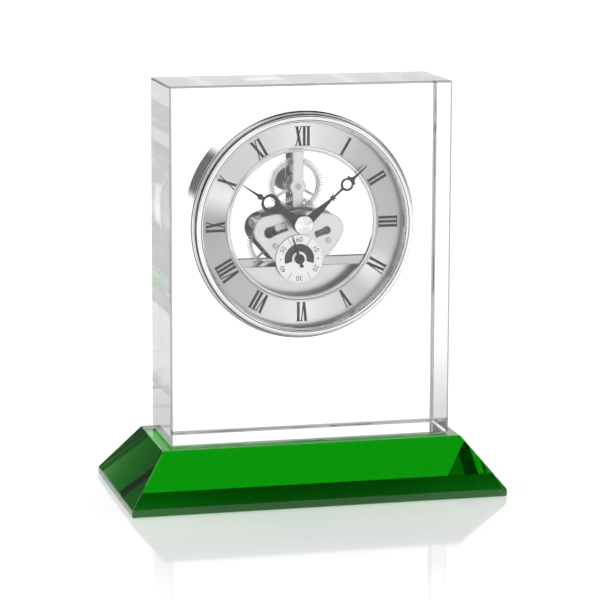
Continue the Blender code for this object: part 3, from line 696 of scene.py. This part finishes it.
def dial_ring():
    """The satin ring, with a raised line near its inner edge and another near its outer edge."""
    outer, low, high = turned_size("dial_ring")
    fine_turned("dial_ring", filleted(tube(DIAL_INNER, outer, low, high), 0.12))
    rail, proud = 0.06, 0.05
    for name, radius in (("inner", DIAL_INNER + 0.55), ("outer", outer - 1.15)):
        mesh = turned_mesh(name, tube(radius - rail, radius + rail, high, high + proud), FINE_STEPS)
        piece(f"dial_{name}_line", mesh, "dial_ring", slot="black_steel")


def dial_inner_trim():
    outer, low, high = turned_size("dial_inner_trim")
    middle = (TRIM_INNER + outer) / 2
    profile = [
        (TRIM_INNER, low), (TRIM_INNER, high - 0.35), (TRIM_INNER + 0.25, high), (middle, high),
        (middle + 0.12, high - 0.3), (outer - 0.12, high - 0.3), (outer, high - 0.45), (outer, low),
    ]
    fine_turned("dial_inner_trim", filleted(profile, 0.1))


def case_wall():
    outer, low, high = turned_size("case_wall")
    profile = filleted(tube(outer - 0.8, outer, low, high), 0.15)
    satin = metal("case_satin", (0.84, 0.84, 0.85), (0.92, 0.92, 0.93), 0.42, 0.55, 900, EVEN, 0.000006)
    fine_turned("case_wall", profile, mat=satin)


def rear_ring():
    outer, low, high = turned_size("rear_ring")
    profile = [
        (outer - 2, low + 0.3), (outer - 1.7, low), (outer - 0.4, low), (outer, low + 0.4), (outer, high),
        (outer - 2, high),
    ]
    fine_turned("rear_ring", filleted(profile, 0.12))


def rubber_fit_band():
    """A thin sleeve with sloping ribs that grip the hole."""
    rib, low, high = turned_size("rubber_fit_band")
    root, bore, count = 46.2, radius_of("rear_ring") - 0.7, 3
    step = (high - low) / count
    profile = [(bore, low), (bore, high)]
    for i in range(count):
        top = high - step * i
        profile += [(root, top), (rib, top - 0.35 * step), (rib, top - 0.6 * step), (root, top - 0.9 * step)]
    fine_turned("rubber_fit_band", profile, STEPS)


# ---------------- numerals

NUMERAL_FOOT = 34.6
NUMERAL_HEIGHT = 8.5
THICK, THIN, SERIF = 1.2, 0.5, 0.36
WIDTHS = {"I": 1.85, "V": 3.3, "X": 3.3}
ROMAN = ["I", "II", "III", "IV", "V", "VI", "VII", "VIII", "IX", "X", "XI", "XII"]


def slant(x_top, x_foot, width):
    """A stroke from the top line to the foot line."""
    h = NUMERAL_HEIGHT
    return [(x_foot - width / 2, 0), (x_foot + width / 2, 0), (x_top + width / 2, h), (x_top - width / 2, h)]


def serif(x, half, top):
    low = NUMERAL_HEIGHT - SERIF if top else 0
    return [(x - half, low), (x + half, low), (x + half, low + SERIF), (x - half, low + SERIF)]


def glyph(letter):
    width = WIDTHS[letter]
    middle = width / 2
    if letter == "I":
        return [slant(middle, middle, THICK), serif(middle, 0.9, True), serif(middle, 0.9, False)]
    left, right = 0.85, width - 0.5
    tops = [serif(left, 0.8, True), serif(right, 0.5, True)]
    if letter == "V":
        return [slant(left, middle + 0.05, THICK), slant(right, middle + 0.25, THIN), *tops]
    feet = [serif(width - left, 0.8, False), serif(width - right, 0.5, False)]
    return [slant(left, width - left, THICK), slant(right, width - right, THIN), *tops, *feet]


def on_dial(points, hour, foot, width):
    """Points of an upright drawing, laid with its foot towards the centre at an hour of the dial."""
    a = hour * TURN / 12
    out, across = Vector((math.sin(a), math.cos(a))), Vector((math.cos(a), -math.sin(a)))
    return [tuple(out * (foot + y) + across * (x - width / 2)) for x, y in points]


def numerals():
    outlines = []
    for hour, text in enumerate(ROMAN, 1):
        width = sum(WIDTHS[letter] for letter in text)
        x = 0.0
        for letter in text:
            for stroke in glyph(letter):
                shifted = [(x + px, py) for px, py in stroke]
                outlines.append(on_dial(shifted, hour, NUMERAL_FOOT, width))
            x += WIDTHS[letter]
    face = span_of("dial_ring")[1]
    mesh = prisms("numerals", outlines, (face, face + 0.06))
    ink = paint("printed_ink", (0.004, 0.004, 0.004), (0.01, 0.01, 0.011), 0.45, 0.6, gloss=0.15)
    piece("dial_numerals", mesh, "dial_ring", ink, slot="black_steel")


# ---------------- seconds dial


def digits_mesh(text, size):
    curve = bpy.data.curves.new(text, "FONT")
    curve.body = text
    curve.size = size
    curve.align_x = "CENTER"
    curve.align_y = "CENTER"
    curve.extrude = 0.02
    mesh = curve_mesh(curve)
    mesh.transform(Matrix.Scale(MM, 4))
    return mesh


def horseshoe(outer, inner):
    """A wide arc round the seconds hand's axis, open at the foot."""
    start, sweep = math.radians(-18), math.radians(216)
    return circle(outer, (0, 0), 64, start, sweep) + circle(inner, (0, 0), 40, start, sweep)[::-1]


def seconds_dial():
    """A silvered disc with a horseshoe opening over a dark sheet, painted shade for the shadow in the recess.
    """
    radius, low, _ = turned_size("seconds_dial")
    recess, tongue, lap = 6.7, 3.3, 0.2
    outlines = [circle(radius, steps=128), horseshoe(recess, tongue), circle(0.9)]
    fine_plate("seconds_dial", outlines, 0.06, SECONDS)
    # Painted shade: a dark sheet under the horseshoe opening stands for the shadow there
    painted_shade_sheet = plate_mesh("recess", [horseshoe(recess + lap, tongue - lap)], (low - 0.2, low - 0.05), 0.03)
    dark = metal("recess_painted_shade", (0.01, 0.01, 0.011), (0.05, 0.05, 0.055), 0.08, 0.18, 300, EVEN, 0.00004)
    piece("seconds_dial_painted_shade", painted_shade_sheet, "seconds_dial", dark, at(SECONDS), slot="dark_chrome")


def seconds_marks():
    """Figures, ticks and dots, a hair proud of the seconds dial."""
    high = span_of("seconds_dial")[1]
    marks = []
    for second in range(10, 61, 10):
        mesh = digits_mesh(str(second), 3.1)
        mesh.transform(Matrix.Translation((0, 8.55 * MM, (high + 0.03) * MM)))
        mesh.transform(Matrix.Rotation(-second * TURN / 60, 4, "Z"))
        marks.append(mesh)
    line = [(-0.09, 0), (0.09, 0), (0.09, 3.4), (-0.09, 3.4)]
    ticks = [on_dial(line, hour, 6.95, 0) for hour in (1, 5, 7, 11)]
    dots = [circle(0.32, on_dial([(0, 0)], hour, 8.5, 0)[0], 20) for hour in (3, 9)]
    marks.append(prisms("ticks", ticks + dots, (high, high + 0.05)))
    ink = paint("seconds_ink", (0.05, 0.05, 0.055), (0.09, 0.09, 0.1), 0.3, 0.45)
    mesh = merged("seconds_marks", *marks)
    piece("seconds_dial_marks", mesh, "seconds_dial", ink, at(SECONDS), slot="black_steel")


# ---------------- plates and battery end


def segment(radius, chord, steps=96):
    reach = math.asin(chord / radius)
    return circle(radius, (0, 0), steps, math.pi - reach, math.pi + 2 * reach)


def wrap(circles, steps=96):
    """The outline of a band stretched round the given (x, y, radius) circles."""
    cloud = sorted({p for x, y, r in circles for p in circle(r, (x, y), steps)})

    def half(points):
        chain = []
        for x, y in points:
            while len(chain) > 1:
                (ax, ay), (bx, by) = chain[-2:]
                if (bx - ax) * (y - ay) - (by - ay) * (x - ax) > 1e-9:
                    break
                chain.pop()
            chain.append((x, y))
        return chain[:-1]

    return half(cloud) + half(cloud[::-1])


def keyhole(place, length, width, head, angle):
    reach = math.asin(width / 2 / head)
    points = circle(head, (0, 0), 32, reach, TURN - 2 * reach)
    points += [(length, -width / 2), (length, width / 2)]
    c, s = math.cos(angle), math.sin(angle)
    return [(place[0] + x * c - y * s, place[1] + x * s + y * c) for x, y in points]


def strut_outline(low, top):
    x = SETTING[0]
    half, boss = 2.35, 3.5
    reach = math.asin(half / boss)
    right = circle(boss, SETTING, 24, reach - math.pi / 2, math.pi - 2 * reach)
    left = circle(boss, SETTING, 24, reach + math.pi / 2, math.pi - 2 * reach)
    return [(x - half, low), (x + half, low), *right, (x + half, top), (x - half, top), *left]


def front_plate():
    lobes = [(0, -0.2, 5.8), (-13.4, -3.6, 6.9), (13.4, -3.6, 6.9), (*SECONDS, 9.0)]
    holes = [
        circle(2.2),
        circle(1.0, SECONDS),
        keyhole((-13.2, -4.2), length=8.0, width=4.2, head=2.4, angle=math.radians(20)),
        keyhole((12.6, -4.0), length=5.4, width=2.6, head=1.7, angle=math.radians(200)),
    ]
    fine_plate("front_plate", [wrap(lobes), *holes], 0.22)


def back_plate():
    """The plate that holds the train's back pivots, with the rear strut."""
    span = span_of("back_plate")
    lobes = [(0, -0.2, 5.8), (-13.8, -4.0, 7.0), (13.8, -4.0, 7.0), (-7.0, -12.4, 6.6), (7.0, -12.4, 6.6)]
    lobes.append((*ROTOR, 1.6))
    holes = [circle(0.9, place) for place in (THIRD, INTERMEDIATE, ROTOR)]
    plate = plate_mesh("back_plate", [wrap(lobes), *holes], span, 0.22)
    top = extent("back_plate")[1][1]
    foot = 4.6
    bar = plate_mesh("back_strut", [strut_outline(foot, top), circle(1.0, SETTING)], span, 0.22)
    fine("back_plate", merged("back_plate", plate, bar))


def top_strut():
    low, high = extent("top_strut")
    fine_plate("top_strut", [strut_outline(low[1], high[1])], 0.2)
    low, high = extent("top_mount")
    fine("top_mount", block_mesh("top_mount", low, high, 0.4), sharp=20)


def frame_pillar():
    radius, low, high = turned_size("frame_pillar")
    neck, collar, slope = radius - 0.25, 2, 0.4
    waist = [(neck, low + collar + slope), (neck, high - collar - slope), (radius, high - collar)]
    profile = [(0, low), (radius, low), (radius, low + collar), *waist, (radius, high), (0, high)]
    fine_turned("frame_pillar", profile, 48, place=centre_of("frame_pillar"), sharp=28, closed=False)


def screws():
    """Cheese heads with a slot across."""
    for name in ("strut_screw", "plate_screw_left", "plate_screw_right", "strut_top_screw"):
        radius, low, high = turned_size(name)
        middle = high - 0.34
        foot = [(0, middle), (radius, middle), (radius, low), (0, low)]
        head = turned_mesh("foot", foot, 48, closed=False)
        half = 0.17  # of the slot's width
        reach = math.asin(half / radius)
        lips = [circle(radius, (0, 0), 24, a + reach, math.pi - 2 * reach) for a in (0, math.pi)]
        upper = [plate_mesh("lip", [lip], (middle - 0.02, high), 0.08) for lip in lips]
        mesh = merged(name, head, *upper)
        mesh.transform(Matrix.Rotation(math.radians(35), 4, "Z"))
        fine(name, mesh, matrix=at(centre_of(name)))


def lower_plate():
    fine_plate("lower_plate", [segment(radius_of("lower_plate"), CHORD)], 0.12)


def battery():
    """A cell with a nub and rolled ends, lying across the insert."""
    low, high = extent("battery")
    half = (high[0] - low[0]) / 2
    radius = (high[1] - low[1]) / 2
    nub = 2.4
    profile = [
        (0, half), (nub - 0.3, half), (nub, half - 0.3), (nub, half - 1.0), (radius - 0.5, half - 1.0),
        (radius, half - 1.5), (radius, half - 1.9), (radius - 0.12, half - 2.1), (radius - 0.12, 1.2 - half),
        (radius, 1.0 - half), (radius, 0.5 - half), (radius - 0.5, -half), (0, -half),
    ]
    middle = (0, (low[1] + high[1]) / 2, (low[2] + high[2]) / 2)
    matrix = TO_WORLD @ Matrix.Translation([value * MM for value in middle])
    matrix = matrix @ Matrix.Rotation(math.pi / 2, 4, "Y")
    fine("battery", turned_mesh("battery", profile, 96, closed=False), matrix=matrix)


# ---------------- motor


def coil():
    """A bobbin wound with wire, turned about its own axis."""
    half, flange, cheek, winding, wire = 4.5, 2.2, 0.6, 1.9, 0.11
    profile = [(0, half), (flange, half), (flange, half - cheek)]
    turns = int((half - cheek) / wire)
    for i in range(turns + 1):
        z = (half - cheek) * (1 - 2 * i / turns)
        profile += [(winding - wire, z), (winding, z - wire * 0.9)][: 2 if i < turns else 1]
    profile += [(flange, cheek - half), (flange, -half), (0, -half)]
    matrix = at(centre_of("coil")) @ Matrix.Translation((0, 0, sum(span_of("coil")) / 2 * MM))
    matrix = matrix @ Matrix.Rotation(math.radians(35), 4, "Z") @ Matrix.Rotation(math.pi / 2, 4, "Y")
    fine("coil", turned_mesh("coil", profile, 64, closed=False), matrix=matrix)


def stator():
    outline = wrap([(*ROTOR, 3.4), (-15.0, 3.9, 1.4)], 64)
    fine_plate("stator", [outline, circle(2.6, ROTOR)], 0.1)


def circuit_board():
    board = [(9.6, -6.0), (17.6, -7.0), (19.2, -2.6), (15.0, 2.0), (10.4, 2.6)]
    fine_plate("circuit_board", [board], 0.05)


def quartz_can():
    radius, low, high = turned_size("quartz_can")
    can = tube(HAIR, radius, low, high)
    fine_turned("quartz_can", filleted(can, 0.3), 48, place=centre_of("quartz_can"), sharp=28)


# ---------------- wheels

TOOTH_TIP = 0.75  # of the module, outside the pitch circle
TOOTH_ROOT = 1.45  # of the module, inside the pitch circle
COMB_ROOT = 3.6  # the same on a large wheel, whose teeth are long and thin
COMB_TEETH = 50  # a wheel with more teeth than this is a large one
ROOT_SHARE, TIP_SHARE = 0.27, 0.14  # half a tooth's width, as a share of the pitch

# Teeth of the going train, in the order of its arbors, and of the hand works
CENTRE_TEETH = 64
THIRD_PINION, THIRD_TEETH = 8, 60
SECONDS_PINION, SECONDS_TEETH = 8, 60
INTERMEDIATE_PINION, INTERMEDIATE_TEETH = 12, 72
ROTOR_PINION = 12
CANNON_PINION, SETTER_TEETH = 12, 18
WORKS_TEETH, WORKS_PINION = 36, 10
HOUR_TEETH = 40
SETTING_TEETH, COLLAR_RIBS = 72, 20

# Backs and fronts of the wheels, in the insert's frame
CENTRE_PLANE = (-12.3, -11.5)
THIRD_PLANE = (-17.0, -16.4)
SECONDS_PLANE = (-19.6, -19.0)
INTERMEDIATE_PLANE = (-21.4, -20.8)
MAGNET = (-14.1, -12.9)
WORKS_PLANE = (-10.4, -9.6)
HOUR_PLANE = (-9.1, -8.3)
SETTING_PLANE = (-15.4, -14.6)
COLLAR = (-18.2, -16.4)


def wider(plane, by):
    return plane[0] - by, plane[1] + by


def engaged(place_a, teeth_a, place_b, teeth_b):
    """The module of two gears, and the phase at which b's gaps face a's teeth, when a's phase is 0."""
    module = 2 * math.dist(place_a, place_b) / (teeth_a + teeth_b)
    way = math.atan2(place_b[1] - place_a[1], place_b[0] - place_a[0])
    part_of_tooth = (way * teeth_a / TURN) % 1
    return module, way + math.pi - (0.5 - part_of_tooth) * TURN / teeth_b


def gear_outline(teeth, module, phase):
    """Flat-topped teeth. One tooth's middle lies at the angle called phase."""
    depth = COMB_ROOT if teeth > COMB_TEETH else TOOTH_ROOT
    tip, root = module * (teeth / 2 + TOOTH_TIP), module * (teeth / 2 - depth)
    points = []
    for i in range(teeth):
        for share, radius in ((-ROOT_SHARE, root), (-TIP_SHARE, tip), (TIP_SHARE, tip), (ROOT_SHARE, root)):
            angle = phase + TURN * (i + share) / teeth
            points.append((radius * math.cos(angle), radius * math.sin(angle)))
    return points


def spoke_windows(hub, rim, count, spoke_width, turn=0.0):
    windows = []
    for i in range(count):
        middle = turn + TURN * (i + 0.5) / count
        half = math.pi / count
        outer = half - spoke_width / 2 / rim
        inner = half - spoke_width / 2 / hub
        edge = circle(rim, (0, 0), 32, middle - outer, 2 * outer)
        back = circle(hub, (0, 0), 10, middle - inner, 2 * inner)[::-1]
        windows.append(edge + back)
    return windows


def arbor_mesh(radius, span):
    """A thin shaft with coned pivots at its ends."""
    low, high = span
    cone, pivot = 0.5, radius * 0.5
    side = [(radius, high - cone), (radius, low + cone)]
    return turned_mesh("arbor", [(0, high), (pivot, high), *side, (pivot, low), (0, low)], 32, closed=False)


def collet(radius, inner, span):
    return turned_mesh("collet", filleted(tube(inner, radius, *span), 0.12), 48)


def wheel(node, place, gears, arbor=0, extras=()):
    """Gears on one arbor, or on a tube where arbor is 0. A gear is (teeth, module, phase, span, windows)."""
    meshes = [arbor_mesh(arbor, span_of(node))] if arbor else []
    for teeth, module, phase, span, windows in gears:
        outline = gear_outline(teeth, module, phase)
        meshes.append(plate_mesh(node, [outline, *windows], span, 0.02))
    fine(node, merged(node, *meshes, *extras), matrix=at(place))


def going_train():
    first, third_phase = engaged(CENTRE, CENTRE_TEETH, THIRD, THIRD_PINION)
    second, seconds_phase = engaged(THIRD, THIRD_TEETH, SECONDS, SECONDS_PINION)
    third, inter_phase = engaged(SECONDS, SECONDS_TEETH, INTERMEDIATE, INTERMEDIATE_PINION)
    fourth, rotor_phase = engaged(INTERMEDIATE, INTERMEDIATE_TEETH, ROTOR, ROTOR_PINION)

    openings = [circle(2.1), *spoke_windows(4.6, 9.0, 4, 1.2)]
    gears = [(CENTRE_TEETH, first, 0, CENTRE_PLANE, openings)]
    wheel("centre_wheel", CENTRE, gears, extras=[collet(2.7, 1.5, span_of("centre_wheel"))])

    windows = spoke_windows(3.0, 9.6, 4, 1.2, math.radians(23))
    pinion = (THIRD_PINION, first, third_phase, wider(CENTRE_PLANE, 0.3), [])
    gears = [pinion, (THIRD_TEETH, second, 0, THIRD_PLANE, windows)]
    wheel("third_wheel", THIRD, gears, 0.55, [collet(1.6, 0.5, wider(THIRD_PLANE, 0.3))])

    pinion = (SECONDS_PINION, second, seconds_phase, wider(THIRD_PLANE, 0.2), [])
    wheel("seconds_wheel", SECONDS, [pinion, (SECONDS_TEETH, third, 0, SECONDS_PLANE, [])], 0.55)

    windows = spoke_windows(3.0, 9.6, 3, 1.2, math.radians(-18))
    pinion = (INTERMEDIATE_PINION, third, inter_phase, wider(SECONDS_PLANE, 0.3), [])
    gears = [pinion, (INTERMEDIATE_TEETH, fourth, 0, INTERMEDIATE_PLANE, windows)]
    wheel("intermediate_wheel", INTERMEDIATE, gears, 0.55)

    gears = [(ROTOR_PINION, fourth, rotor_phase, wider(INTERMEDIATE_PLANE, 0.3), [])]
    wheel("rotor", ROTOR, gears, 0.55, [collet(2.1, 0.5, MAGNET)])


def hand_works():
    setting, setting_phase = engaged(CENTRE, SETTER_TEETH, SETTING, SETTING_TEETH)
    works, works_phase = engaged(CENTRE, CANNON_PINION, MINUTE_WORKS, WORKS_TEETH)
    hours, hour_phase = engaged(MINUTE_WORKS, WORKS_PINION, CENTRE, HOUR_TEETH)

    gears = [
        (CANNON_PINION, works, 0, wider(WORKS_PLANE, 0.1), []),
        (SETTER_TEETH, setting, 0, wider(SETTING_PLANE, 0.2), []),
    ]
    wheel("cannon_pinion", CENTRE, gears, 0.8, [collet(1.2, 0.7, (-15.0, -10.0))])

    pinion = (WORKS_PINION, hours, 0, (HOUR_PLANE[0] - 0.7, HOUR_PLANE[1] + 0.2), [])
    wheel("minute_wheel", MINUTE_WORKS, [(WORKS_TEETH, works, works_phase, WORKS_PLANE, []), pinion], 0.5)

    gears = [(HOUR_TEETH, hours, hour_phase, HOUR_PLANE, [circle(1.3)])]
    wheel("hour_wheel", CENTRE, gears, extras=[collet(1.6, 1.1, span_of("hour_wheel"))])

    windows = spoke_windows(3.0, 9.5, 3, 1.3, math.pi / 2)
    rim = (SETTING_TEETH, setting, setting_phase, SETTING_PLANE, windows)
    hub = collet(1.8, 0.6, (COLLAR[1] + 0.1, SETTING_PLANE[1] + 0.4))
    wheel("setting_wheel", SETTING, [rim, (COLLAR_RIBS, 0.42, 0, COLLAR, [])], 0.7, [hub])


# ---------------- hands


def bulge(centre, radius, neck, steps=28):
    """Stations (along, half width) round a disc on a hand, from neck width back to neck width."""
    reach = math.asin(neck / radius)
    angles = [math.pi - reach - (math.pi - 2 * reach) * i / steps for i in range(steps + 1)]
    return [(centre + radius * math.cos(a), radius * math.sin(a)) for a in angles]


def waisted(stations, steps=5):
    """Smooths a list of (along, half width) stations with a spline through them."""
    points = [Vector(station) for station in stations]
    padded = [points[0], *points, points[-1]]
    smooth = []
    for a, b, c, d in zip(padded, padded[1:], padded[2:], padded[3:]):
        for k in range(steps):
            t = k / steps
            bend = (2 * a - 5 * b + 4 * c - d) * t ** 2 + (3 * b - a - 3 * c + d) * t ** 3
            smooth.append(tuple((2 * b + (c - a) * t + bend) / 2))
    return smooth + [tuple(points[-1])]


def mirrored(stations, angle):
    right = [(half, along) for along, half in stations]
    left = [(-half, along) for along, half in reversed(stations)]
    c, s = math.cos(angle), math.sin(angle)
    return [(x * c - y * s, x * s + y * c) for x, y in right + left]


def turned_circle(radius, along, angle):
    return circle(radius, (-along * math.sin(angle), along * math.cos(angle)), 48)


def minute_hand():
    loop, spikes, tip = 26.0, 17.6, 38.0
    boss = [(-3.6, 1.4), (-2.2, 3.0), (0, 3.6), (2.6, 2.9), (4.4, 2.0)]
    root = waisted([*boss, (9.0, 1.6), (spikes - 1.1, 0.55)])
    stations = root + [(spikes - 0.5, 1.6), (spikes, 0.75), (spikes + 0.9, 1.7), (spikes + 0.8, 0.5)]
    stations += [(loop - 3.6, 0.5), *bulge(loop, 2.9, 0.75)[:-6]]
    stations += [(loop + 3.0, 2.6), (loop + 3.4, 1.2), (loop + 4.6, 0.6), (tip, 0.2)]
    outlines = [mirrored(stations, HANDS["minute"]), turned_circle(1.95, loop + 0.1, HANDS["minute"])]
    fine_plate("minute_hand", outlines, 0.1)


def hour_hand():
    moon, bead, tip = 17.8, 23.2, 32.4
    root = waisted([(-4.0, 1.6), (-2.6, 3.4), (0, 4.4), (2.8, 3.6), (5.0, 2.2), (8.4, 1.5), (11.6, 1.4)])
    stations = root + [(12.2, 2.3), (13.2, 2.3), *bulge(moon, 4.1, 2.0)]
    stations += [(bead - 1.5, 0.8), *bulge(bead, 1.3, 0.7, 12), (bead + 2.4, 0.5), (tip, 0.2)]
    angle = HANDS["hour"]
    outlines = [mirrored(stations, angle), turned_circle(2.5, moon + 0.5, angle), circle(1.15)]
    fine_plate("hour_hand", outlines, 0.1)


def seconds_hand():
    stations = waisted([(-3.9, 0.5), (-3.4, 0.9), (-2.9, 0.5)], 4) + bulge(0, 2.2, 0.6) + [(10.4, 0.15)]
    fine_plate("seconds_hand", [mirrored(stations, HANDS["seconds"])], 0.08, SECONDS)


def hand_cap():
    """A low turned cone with a rounded rim."""
    radius, low, high = turned_size("hand_cap")
    outline = [
        (HAIR, low), (HAIR, high), (0.5, high - 0.05), (radius - 0.6, high - 1.05),
        (radius - 0.2, high - 1.15), (radius, low + 0.2), (radius, low),
    ]
    fine_turned("hand_cap", filleted(outline, 0.12), 128, lathed("lathed_cap"), sharp=40)


# ---------------- back


def setting_knob():
    outer, low, high = turned_size("setting_knob")
    grooves, depth, shoulder, sink = 36, 0.38, 0.7, 0.25
    knurl = []
    for i in range(6 * grooves):
        radius = outer if i % 6 < 3 else outer - depth
        angle = TURN * i / 6 / grooves
        knurl.append((radius * math.cos(angle), radius * math.sin(angle)))
    body = plate_mesh("knob", [knurl], (low + 0.4, high), 0.25)
    face = [(HAIR, low + shoulder), (HAIR, low + sink), (3.6, low), (4.3, low), (4.3, low + shoulder)]
    mesh = merged("setting_knob", body, turned_mesh("face", filleted(face, 0.2), 96))
    fine("setting_knob", mesh, matrix=at(SETTING))


def battery_door():
    """A thin leaf with finger ribs and a rolled hinge along its lower edge."""
    low, high = extent("battery_door")
    ribs, pitch, half_length, half_width = 5, 0.9, 6, 0.22
    leaf = [block_mesh("leaf", (low[0], low[1] + 1.0, low[2] + 0.35), high, 0.25)]
    leaf.append(block_mesh("hinge", low, (high[0], low[1] + 1.8, high[2]), 0.5))
    for i in range(ribs):
        y = high[1] - 1.4 - pitch * i
        foot = (-half_length, y - half_width, low[2] + 0.05)
        leaf.append(block_mesh("rib", foot, (half_length, y + half_width, high[2] - 0.3), 0.12))
    fine("battery_door", merged("battery_door", *leaf), BACK_SATIN, sharp=35)


def dress_nodes():
    """Every CAD node that stays on show takes its slot's fine material."""
    special = {"battery_housing": SLOT_MATERIALS["dark_chrome"], "rear_panel": BACK_SATIN}
    for node, obj in NODES.items():
        for entry in obj.material_slots:
            entry.material = special.get(node, SLOT_MATERIALS[SLOTS[node]])


# ---------------- studio

CAMERA_AZIMUTH, CAMERA_ELEVATION = -14.108, 10.364  # degrees
CAMERA_ROLL = 0.00374
CAMERA_DISTANCE = 1.2678
CAMERA_TARGET = Vector((-0.00012, 0, 0.0848))
LENS_MM = 170.12

# Soft black cards round the studio: azimuth from the front, elevation, inner and outer half angle
# in degrees, and depth
CARDS = [
    (26, 62, 17, 32, 0.985),
    (70, 14, 12, 20, 0.97),
    (-56, 22, 12, 24, 0.6),
    (-164, 6.5, 6, 10, 0.93),
    (111, 19, 8, 13, 0.66),
]
ROOM_LEVEL = 1.08

FLOOR_RADIUS = 3.0
FLOOR_DROP = 0.2 * MM
FLOOR_SHADE = (0.7, 0.7, 0.7, 1)
MIRROR_FADE = (0.14, 0.3)  # metres from the middle, where the floor's gloss starts and ends its fading
MIRROR_LEVEL = 0.55
GLOW_NEAR, GLOW_FAR = 0.34, 0.6


def towards(azimuth, elevation):
    """A direction out of the object, given in degrees."""
    a, e = math.radians(azimuth), math.radians(elevation)
    return Vector((math.sin(a) * math.cos(e), -math.cos(a) * math.cos(e), math.sin(e)))


def camera():
    data = bpy.data.cameras.new("camera")
    data.lens = LENS_MM
    data.sensor_width = 36
    data.clip_start, data.clip_end = 0.05, 60
    obj = linked("camera", data)
    back = towards(CAMERA_AZIMUTH, CAMERA_ELEVATION)
    obj.location = CAMERA_TARGET + back * CAMERA_DISTANCE
    obj.rotation_mode = "QUATERNION"
    obj.rotation_quaternion = (-back).to_track_quat("-Z", "Y") @ Quaternion((0, 0, 1), CAMERA_ROLL)
    bpy.context.scene.camera = obj


def white_room():
    """A soft white surround with a few black cards, which only reflections and refractions show."""
    world = bpy.data.worlds.new("studio")
    bpy.context.scene.world = world
    world.use_nodes = True
    tree = world.node_tree
    background = tree.nodes["Background"]
    background.inputs["Color"].default_value = (1, 1, 1, 1)
    direction = add(tree, "TexCoord").outputs["Generated"]
    strength = None
    for azimuth, elevation, inner, outer, depth in CARDS:
        dot = add(tree, "VectorMath", [(0, direction)], "DOT_PRODUCT")
        dot.inputs[1].default_value = towards(azimuth, elevation)
        edge = (math.cos(math.radians(outer)), math.cos(math.radians(inner)))
        card = mapped(tree, dot.outputs["Value"], edge, (1.0, 1.0 - depth), smooth=True)
        strength = card if strength is None else maths(tree, "MULTIPLY", strength, card)
    seen = add(tree, "LightPath").outputs["Is Camera Ray"]
    level = maths(tree, "MULTIPLY", maths(tree, "MAXIMUM", strength, seen), ROOM_LEVEL)
    tree.links.new(level, background.inputs["Strength"])


def floor():
    """A pale floor that mirrors the object near its foot."""
    bm = bmesh.new()
    bmesh.ops.create_circle(bm, cap_ends=True, segments=96, radius=FLOOR_RADIUS)
    mesh = finish_mesh(bm, "floor")
    obj = linked("floor", mesh)
    obj.location.z = -FLOOR_DROP
    mat, tree, bsdf = shader("floor", Base_Color=FLOOR_SHADE, Roughness=0.07, Emission_Color=(1, 1, 1, 1))
    away = add(tree, "VectorMath", [(0, object_space(tree))], "LENGTH").outputs["Value"]
    gloss = mapped(tree, away, MIRROR_FADE, (MIRROR_LEVEL, 0.0), smooth=True)
    feed(bsdf, "Specular IOR Level", gloss)
    feed(bsdf, "Emission Strength", mapped(tree, away, MIRROR_FADE, (GLOW_NEAR, GLOW_FAR)))
    mesh.materials.append(mat)


def studio():
    scene = bpy.context.scene
    scene.view_settings.view_transform = "Standard"
    scene.cycles.max_bounces = 24
    scene.cycles.glossy_bounces = 16
    scene.cycles.transmission_bounces = 24
    camera()
    white_room()
    floor()


PARTS = [
    crystal_slab, crystal_base,
    bezel_ring, front_lens, lens_spacer, dial_ring, dial_inner_trim, case_wall, rear_ring, rubber_fit_band,
    numerals, seconds_dial, seconds_marks,
    front_plate, back_plate, top_strut, frame_pillar, screws, lower_plate, battery,
    coil, stator, circuit_board, quartz_can, going_train, hand_works,
    minute_hand, hour_hand, seconds_hand, hand_cap, setting_knob, battery_door,
]

studio()
for build in PARTS:
    build()
dress_nodes()
